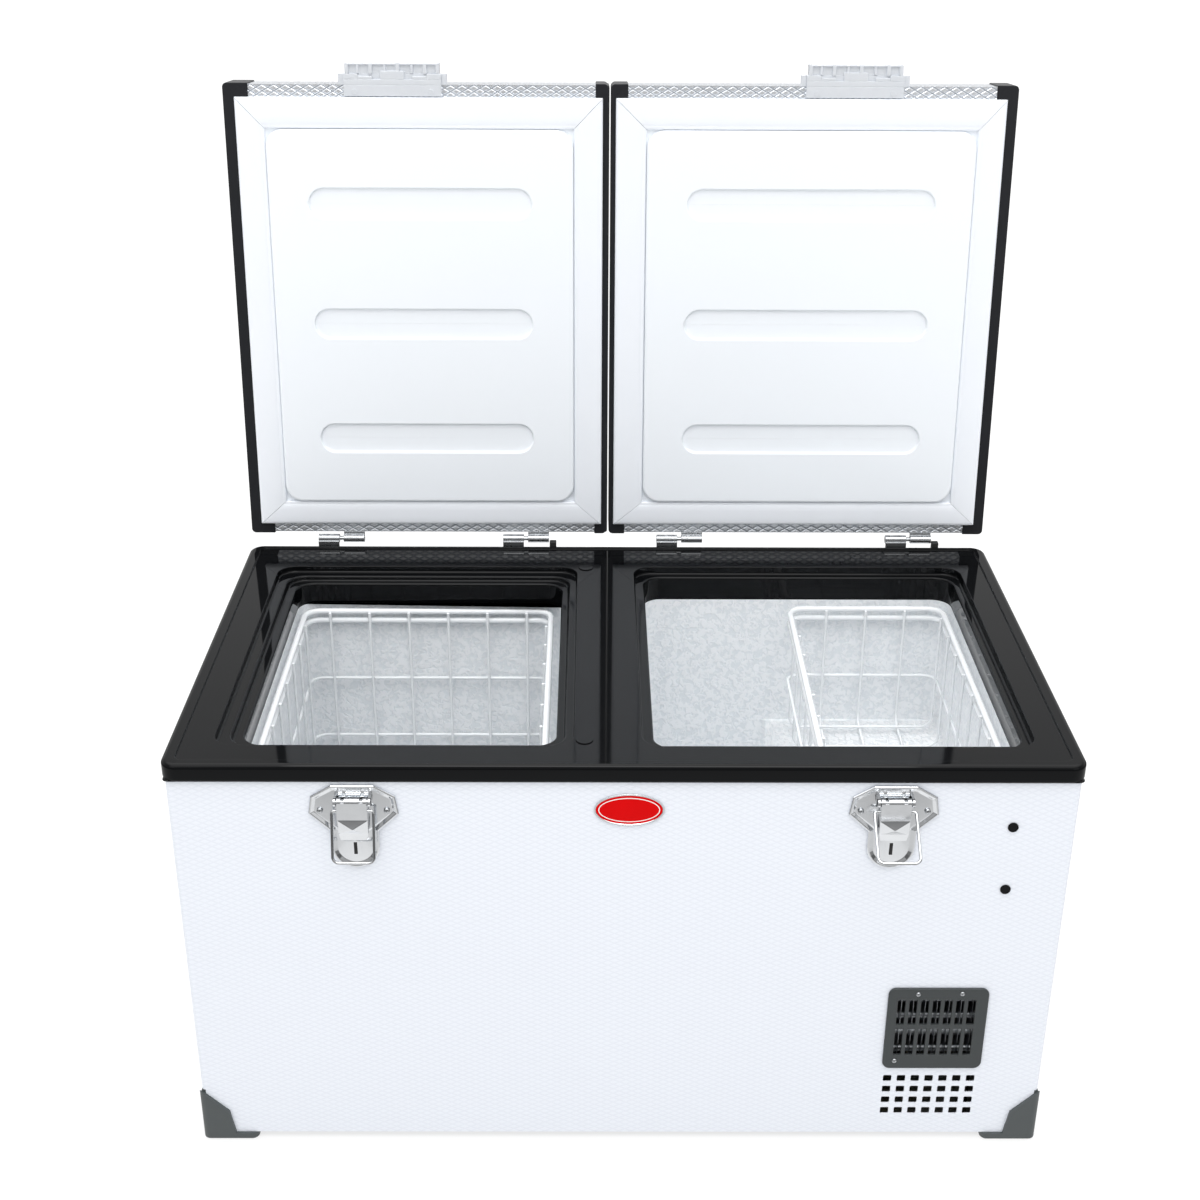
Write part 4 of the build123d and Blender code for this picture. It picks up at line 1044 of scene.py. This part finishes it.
    def lever(self) -> None:
        """Builds the lever: three barrel lengths, a flat band and a low pyramid above a plain lip."""
        place = self.place()
        half, thick = self.half_lever, self.thick
        band, pyramid, lip = self.lever_bands
        front = [(half, 1.0, thick), (half, band, thick), (half, pyramid, thick - 1.4),
                 (half - 2, lip, thick - 2.2)]
        work = bmesh.new()
        rows = []
        for sign in (-1, 1):
            rows.append([work.verts.new(place @ metres(sign * x, y, z)) for x, y, z in front])
            rows.append([work.verts.new(place @ metres(sign * x, y, -thick)) for x, y, _ in front])
        left, left_back, right, right_back = rows
        apex = work.verts.new(place @ metres(0, self.pyramid_top, thick + self.pyramid_rise))
        work.faces.new((left[0], right[0], right[1], left[1]))
        for corners in ((left[1], right[1]), (right[1], right[2]), (right[2], left[2]), (left[2], left[1])):
            work.faces.new((*corners, apex))
        work.faces.new((left[2], right[2], right[3], left[3]))
        work.faces.new((left[3], right[3], right_back[3], left_back[3]))
        work.faces.new((left[0], right[0], right_back[0], left_back[0]))
        work.faces.new((*left, *reversed(left_back)))
        work.faces.new((*right, *reversed(right_back)))
        work.faces.new((*left_back, *reversed(right_back)))
        bmesh.ops.recalc_face_normals(work, faces=work.faces)
        for start, end in self.barrels:
            barrel = place @ Matrix.Translation(metres(start, 0, 0)) @ Matrix.Rotation(math.pi / 2, 4, "Y")
            turned(work, [(thick, 0.0), (thick, end - start)], barrel, 28)
        node = f"latch_lever_{self.side}"
        name = node + ".finished"
        mesh = bevelled(name, work, 0.4, 2, 12.0, smooth=7.0)
        new_piece(name, mesh, CHROMED_ZINC, f"lever_{self.side}", (node,))

    def build(self) -> None:
        """Builds the whole latch."""
        self.backplate()
        self.padlock_eye()
        self.lever()
        soften(f"latch_bail_{self.side}", STAINLESS_WIRE, f"bail_{self.side}", 0.0)


@dataclass
class Badge:
    """Blank oval badge: silver border, red enamel field and a white line inside it."""

    border: float = 2.0
    line_inset: float = 4.4
    line_width: float = 0.9
    steps: int = 72

    def oval(self, name: str, finish: Finish, rings: Outline, closed: bool,
             replaces: Sequence[str] = ()) -> None:
        """Adds one oval piece.

        Args:
            name: the piece's name.
            finish: its surface.
            rings: inset from the badge's edge and rise from the sheet in millimetres.
            closed: whether the section closes on itself, as a ring's does.
            replaces: CAD nodes that it stands for.
        """
        low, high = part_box("badge")
        centre = (low + high) / 2
        half = (high - low) / 2
        loops = []
        for inset, rise in rings:
            loop = []
            for k in range(self.steps):
                turn = 2 * math.pi * k / self.steps
                across = (half.x - inset * MM) * math.cos(turn)
                upward = (half.z - inset * MM) * math.sin(turn)
                loop.append(Vector((centre.x + across, high.y - rise * MM, centre.z + upward)))
            loops.append(loop)
        work = bmesh.new()
        ring_stack(work, loops, closed)
        new_piece(name, mesh_from(name, work, 40.0), finish, "root", replaces)

    def build(self) -> None:
        """Builds the border, the domed field and the line."""
        edge = self.border
        rim = [(0.0, 0.0), (0.0, 1.5), (0.35, 1.95), (edge - 0.4, 1.95), (edge, 1.5), (edge, 0.0)]
        self.oval("badge_border", CHROMED_ZINC, rim, True, ("badge",))
        field = [(edge, 0.0), (edge, 1.35), (edge + 3, 1.5), (edge + 8, 1.7), (edge + 13, 1.8)]
        self.oval("badge_field", RED_ENAMEL, field, False)
        inner, outer = self.line_inset, self.line_inset + self.line_width
        line = [(inner, 1.2), (inner, 1.53), (outer, 1.56), (outer, 1.2)]
        self.oval("badge_line", WHITE_ENAMEL, line, True)


@dataclass
class Basket:
    """One lift-out basket of coated wire: two stout top rings, side rings and crossed hoops."""

    side: str
    rings: WireRings
    hoops: WireHoops
    top_wire: float = 3.4
    top_pitch: float = 11.5
    side_wire: float = 1.9
    hoop_wire: float = 1.7
    first_side_ring: float = 91.0
    side_pitch: float = 78.0
    hoop_pitch: float = 46.0
    corner: float = 20.0
    floor_bend: float = 14.0

    def build(self) -> None:
        """Runs both recipes at this basket's size."""
        node, body = f"basket_{self.side}", f"wire_basket_{self.side}"
        low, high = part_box(node)
        middle = (low + high) / 2
        size = high - low
        inset = (2 * self.top_wire + self.hoop_wire) * MM
        top = {"Width": size.x - 2 * self.top_wire * MM, "Depth": size.y - 2 * self.top_wire * MM,
               "Bend Radius": (self.corner - self.top_wire) * MM, "Wire Radius": self.top_wire * MM,
               "Count": 2, "Start": (middle.x, middle.y, high.z - self.top_wire * MM),
               "Step": (0, 0, -self.top_pitch * MM)}
        self.piece(node, body, "rim_wires", self.rings.run(f"{node}_rim_wires", top), (node,))
        gap = 2 * self.top_wire - self.side_wire
        count = 1 + int((size.z - (self.first_side_ring + 25) * MM) / (self.side_pitch * MM))
        walls = {"Width": size.x - 2 * gap * MM, "Depth": size.y - 2 * gap * MM,
                 "Bend Radius": (self.corner - gap) * MM, "Wire Radius": self.side_wire * MM, "Count": count,
                 "Start": (middle.x, middle.y, high.z - self.first_side_ring * MM),
                 "Step": (0, 0, -self.side_pitch * MM)}
        self.piece(node, body, "side_wires", self.rings.run(f"{node}_side_wires", walls))
        for name, span, reach, turn, lift in (("long_hoops", size.y, size.x, math.pi / 2, 0),
                                              ("cross_hoops", size.x, size.y, 0.0, 2)):
            number = 1 + int((reach - 2 * (self.corner + 6) * MM) / (self.hoop_pitch * MM))
            first = -(number - 1) / 2 * self.hoop_pitch * MM
            along = Vector((1, 0, 0)) if turn else Vector((0, 1, 0))
            floor = low.z + (1 + lift) * self.hoop_wire * MM
            start = Vector((middle.x, middle.y, floor)) + along * first
            sizes = {"Span": span - 2 * inset, "Drop": high.z - self.top_wire * MM - floor, "Turn": turn,
                     "Bend Radius": self.floor_bend * MM, "Wire Radius": self.hoop_wire * MM, "Count": number,
                     "Start": tuple(start), "Step": tuple(along * self.hoop_pitch * MM)}
            self.piece(node, body, name, self.hoops.run(f"{node}_{name}", sizes))

    def piece(self, node: str, body: str, part: str, mesh: Mesh,
              replaces: Sequence[str] = ()) -> None:
        """Adds one group of wires."""
        new_piece(f"{node}_{part}", mesh, COATED_WIRE, body, replaces)


@dataclass
class Fittings:
    """Hinge leaves, screws, grille, handles, sockets and vents on the cabinet's outside."""

    joints: Sequence[dict]
    plate_edge: float = 0.6
    grip_reach: float = 34.0
    grip_radius: float = 6.7
    rib_rise: float = 0.7
    rib_pitch: float = 5.0
    handle_drop: float = 62.0

    def islands(self, node: str) -> list[tuple[Vector, Vector]]:
        """Returns the lowest and highest corner of each separate solid of a node."""
        work = bmesh.new()
        work.from_mesh(bpy.data.objects[node].data)
        bmesh.ops.remove_doubles(work, verts=work.verts, dist=4e-6)
        waiting = set(work.verts)
        found = []
        while waiting:
            stack = [waiting.pop()]
            group = []
            while stack:
                vertex = stack.pop()
                group.append(vertex.co.copy())
                for edge in vertex.link_edges:
                    other = edge.other_vert(vertex)
                    if other in waiting:
                        waiting.remove(other)
                        stack.append(other)
            lows = Vector([min(point[i] for point in group) for i in range(3)])
            highs = Vector([max(point[i] for point in group) for i in range(3)])
            found.append((lows, highs))
        work.free()
        return found

    def screws(self) -> None:
        """Sets a cross-recessed pan head on every screw of the cabinet, grouped by the way it faces."""
        recipe = ScrewHeads(STAINLESS_STEEL)
        turns = {"front": (math.pi / 2, 0, 0), "rear": (-math.pi / 2, 0, 0), "right": (0, math.pi / 2, 0),
                 "left": (0, -math.pi / 2, 0)}
        groups: dict[tuple[str, int], list[Vector]] = {}
        for low, high in self.islands("cabinet_screws"):
            size, middle = high - low, (low + high) / 2
            thin = min(range(3), key=lambda i: size[i])
            if thin == 1:
                way, seat = ("front", high.y) if middle.y < 0 else ("rear", low.y)
                at = Vector((middle.x, seat, middle.z))
            else:
                way, seat = ("right", low.x) if middle.x > 0 else ("left", high.x)
                at = Vector((seat, middle.y, middle.z))
            groups.setdefault((way, round(max(size) / 2 / MM * 10)), []).append(at)
        for (way, tenths), points in sorted(groups.items()):
            radius = tenths / 10 * MM
            sizes = {"Head Radius": radius, "Head Height": 1.5 * MM, "Recess Width": radius * 0.26,
                     "Facing": turns[way]}
            name = f"screws_{way}_{tenths}"
            new_piece(name, recipe.run(name, sizes, points), STAINLESS_STEEL, "root",
                      ("cabinet_screws",))

    def grip(self, side: str) -> None:
        """Adds the ribbed rubber sleeve on one drop handle."""
        pivot = Vector(next(j["pos_m"] for j in self.joints if j["name"] == f"handle_{side}_pivot"))
        centre = pivot - Vector((0, 0, self.handle_drop * MM))
        place = Matrix.Translation(centre) @ Matrix.Rotation(math.pi / 2, 4, "X")
        profile = [(4.2, -self.grip_reach - 1.5), (self.grip_radius - 0.6, -self.grip_reach - 1.4)]
        ribs = int(2 * self.grip_reach / self.rib_pitch)
        for k in range(ribs + 1):
            at = -self.grip_reach + 2 * self.grip_reach * k / ribs
            for step, rise in ((-1.6, 0.0), (-0.9, self.rib_rise), (0.9, self.rib_rise), (1.6, 0.0)):
                if abs(at + step) < self.grip_reach:
                    profile.append((self.grip_radius + rise, at + step))
        profile += [(self.grip_radius - 0.6, self.grip_reach + 1.4), (4.2, self.grip_reach + 1.5)]
        work = bmesh.new()
        turned(work, profile, place, 28)
        name = f"handle_grip_{side}"
        new_piece(name, mesh_from(name, work, 50.0), MOUNT_RUBBER, f"carry_handle_{side}")

    def build(self) -> None:
        """Finishes every outside fitting."""
        black, steel, edge = "satin_black_plastic", "stainless_steel", self.plate_edge
        for node, finish, slot, width, segments in (
                ("vent_grille", CHARCOAL_POLYPROPYLENE, black, edge, 2),
                ("hinge_body_leaves", STAINLESS_STEEL, steel, 0.4, 2),
                ("hinge_pins", STAINLESS_STEEL, steel, 0.0, 2),
                ("latch_pins", STAINLESS_STEEL, steel, 0.0, 2),
                ("lid_stops", MOUNT_RUBBER, "rubber_mount", 1.0, 3),
                ("handle_brackets", SATIN_ZINC, "zinc_diecast", edge, 2),
                ("side_vent_grille", CHARCOAL_POLYPROPYLENE, black, edge, 2),
                ("power_sockets", SATIN_BLACK_PLASTIC, black, 0.4, 2)):
            soften(node, finish, "root", width, segments)
        self.screws()
        for side in ("left", "right"):
            soften(f"handle_{side}", STAINLESS_WIRE, f"carry_handle_{side}", 0.0)
            self.grip(side)


class Segment(Enum):
    """Strokes of a seven-segment figure, as centre and size in shares of its width and height."""

    TOP = (0.5, 1.0, True)
    MIDDLE = (0.5, 0.5, True)
    BOTTOM = (0.5, 0.0, True)
    UPPER_LEFT = (0.0, 0.75, False)
    UPPER_RIGHT = (1.0, 0.75, False)
    LOWER_LEFT = (0.0, 0.25, False)
    LOWER_RIGHT = (1.0, 0.25, False)


@dataclass
class Controls:
    """Control plate on the right side: display with two temperatures, and four buttons."""

    figure_width: float = 4.0
    figure_height: float = 7.6
    stroke: float = 0.9
    figures: tuple[tuple[str, float], ...] = (("4", 11.0), ("-", -5.5), ("1", -10.0), ("8", -15.0))

    def strokes(self, figure: str) -> tuple[Segment, ...]:
        """Returns the strokes of one figure."""
        s = Segment
        known = {"-": (s.MIDDLE,), "1": (s.UPPER_RIGHT, s.LOWER_RIGHT), "8": tuple(Segment),
                 "4": (s.UPPER_LEFT, s.UPPER_RIGHT, s.MIDDLE, s.LOWER_RIGHT)}
        return known[figure]

    def display(self) -> None:
        """Adds the lit figures just proud of the display's window."""
        low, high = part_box("display_window")
        middle = (low + high) / 2
        work = bmesh.new()
        for figure, at in self.figures:
            for segment in self.strokes(figure):
                across, up, flat = segment.value
                y = middle.y - (at - (across - 0.5) * self.figure_width) * MM
                z = middle.z + (up - 0.5) * self.figure_height * MM
                reach = (self.figure_width if flat else self.figure_height / 2) / 2 - 0.35
                half_y, half_z = (reach, self.stroke / 2) if flat else (self.stroke / 2, reach)
                corner = Vector((high.x - 0.1 * MM, y - half_y * MM, z - half_z * MM))
                slab(work, corner, Vector((high.x + 0.1 * MM, y + half_y * MM, z + half_z * MM)), Matrix())
        name = "display_figures"
        new_piece(name, mesh_from(name, work), DISPLAY_LIGHT, "root")

    def build(self) -> None:
        """Finishes the plate, window and buttons."""
        soften("control_panel", SATIN_BLACK_PLASTIC, "root", 0.5)
        dress("display_window", DISPLAY_GLASS)
        self.display()
        for name in ("power", "mode", "up", "down"):
            soften(f"button_{name}", BUTTON_PLASTIC, f"{name}_button", 0.0)


@dataclass
class MachineBay:
    """Compressor, condenser, fan, electronics and pipes behind the vents."""

    def build(self) -> None:
        """Finishes the bay's contents."""
        for node, finish, body, slot in (
                ("compressor", COMPRESSOR_ENAMEL, "root", "compressor_enamel"),
                ("compressor_feet", MOUNT_RUBBER, "root", "rubber_mount"),
                ("refrigerant_lines", COPPER_PIPE, "root", "copper"),
                ("condenser", FIN_ALUMINIUM, "root", "fin_aluminium"),
                ("fan_frame", SATIN_BLACK_PLASTIC, "root", "satin_black_plastic"),
                ("fan_rotor", SATIN_BLACK_PLASTIC, "fan", "satin_black_plastic"),
                ("control_module", SATIN_BLACK_PLASTIC, "root", "satin_black_plastic")):
            soften(node, finish, body, 0.0)


@dataclass
class Studio:
    """Pale floor, soft light all round and the camera."""

    eye: tuple[float, float, float] = (-0.0329, -1.6933, 1.3161)
    tilt_down: float = 25.806
    swing: float = -0.234
    roll: float = -0.263
    focal: float = 52.34
    floor_size: float = 400.0
    behind: float = 0.80
    front: float = 0.40
    dark_band: float = 0.12
    zenith: float = 2.2
    below: float = 1.05
    lit_point: tuple[float, float, float] = (0.0, 0.0, 0.5)

    def floor(self) -> None:
        """Lays the floor."""
        half = self.floor_size / 2
        mesh = bpy.data.meshes.new("studio_floor")
        corners = [(-half, -half, 0), (half, -half, 0), (half, half, 0), (-half, half, 0)]
        mesh.from_pydata(corners, [], [(0, 1, 2, 3)])
        mesh.materials.append(STUDIO_CARD.material())
        floor = bpy.data.objects.new("studio_floor", mesh)
        floor.visible_glossy = False
        bpy.context.scene.collection.objects.link(floor)

    def lamp(self, name: str, at: Sequence[float], size: float, power: float) -> None:
        """Hangs one soft lamp that faces the cabinet.

        Args:
            name: the lamp's name.
            at: its place in metres.
            size: side of its square in metres.
            power: watts.
        """
        light = bpy.data.lights.new(name, "AREA")
        light.size = size
        light.energy = power
        lamp = bpy.data.objects.new(name, light)
        lamp.location = at
        lamp.rotation_euler = (Vector(self.lit_point) - Vector(at)).to_track_quat("-Z", "Y").to_euler()
        bpy.context.scene.collection.objects.link(lamp)

    def sky(self) -> None:
        """Surrounds the set with light, brightest overhead, and a dark band under the horizon for chrome."""
        world = bpy.data.worlds.new("studio_sky")
        world.use_nodes = True
        tree = world.node_tree
        around = add_node(tree, "ShaderNodeTexCoord").outputs["Generated"]
        way = add_node(tree, "ShaderNodeSeparateXYZ", {0: around}).outputs
        ramps = []
        for axis, start, end, low, high in (
                ("Y", -0.3, 0.4, self.front, self.behind), ("Z", 0.55, 0.95, 0.0, self.zenith),
                ("Z", -0.01, -0.06, 0.0, 1.0), ("Z", -0.2, -0.75, 0.0, 1.0)):
            ramp = add_node(tree, "ShaderNodeMapRange",
                            {"Value": way[axis], "From Min": start, "From Max": end, "To Min": low,
                             "To Max": high}, interpolation_type="SMOOTHSTEP")
            ramps.append(ramp.outputs[0])
        above = add_node(tree, "ShaderNodeMath", {0: ramps[0], 1: ramps[1]}, operation="ADD")
        band = add_node(tree, "ShaderNodeMix", {0: ramps[2], 2: above.outputs[0], 3: self.dark_band})
        level = add_node(tree, "ShaderNodeMix", {0: ramps[3], 2: band.outputs[0], 3: self.below})
        background = tree.nodes["Background"]
        background.inputs["Color"].default_value = linear("FFFFFF")
        tree.links.new(level.outputs[0], background.inputs["Strength"])
        bpy.context.scene.world = world

    def build(self) -> None:
        """Builds the floor, sky, lamps and camera."""
        self.floor()
        self.sky()
        bpy.context.scene.view_settings.view_transform = "Standard"
        self.lamp("key_lamp", (-1.9, -2.6, 2.3), 2.0, 11.0)
        self.lamp("fill_lamp", (2.2, -2.8, 1.6), 2.0, 7.0)
        self.lamp("top_lamp", (0.0, -1.8, 3.4), 1.8, 30.0)
        camera = bpy.data.cameras.new("camera")
        camera.lens = self.focal
        camera.sensor_width = 36.0
        camera.dof.use_dof = False
        eye = bpy.data.objects.new("camera", camera)
        eye.location = self.eye
        eye.rotation_euler = [math.radians(turn) for turn in (90 - self.tilt_down, self.roll, self.swing)]
        bpy.context.scene.collection.objects.link(eye)
        bpy.context.scene.camera = eye


def main() -> None:
    """Builds the studio, then the fridge's looks in order."""
    logging.basicConfig(level=logging.INFO, format="%(name)s: %(message)s")
    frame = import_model()
    joints = {joint["name"]: joint for joint in frame["joints"]}
    Studio().build()
    Cabinet().build()
    Rim().build()
    for side, raised in (("left", (-395.0, -52.7)), ("right", (29.4, 397.0))):
        Lid(side, joints[f"lid_{side}_hinge"], raised).build()
        Latch(side, Vector(joints[f"lever_{side}_pivot"]["pos_m"])).build()
    Badge().build()
    rings, hoops = WireRings(COATED_WIRE), WireHoops(COATED_WIRE)
    for side in ("left", "right"):
        Basket(side, rings, hoops).build()
    Fittings(frame["joints"]).build()
    Controls().build()
    MachineBay().build()


if __name__ == "__main__":
    main()
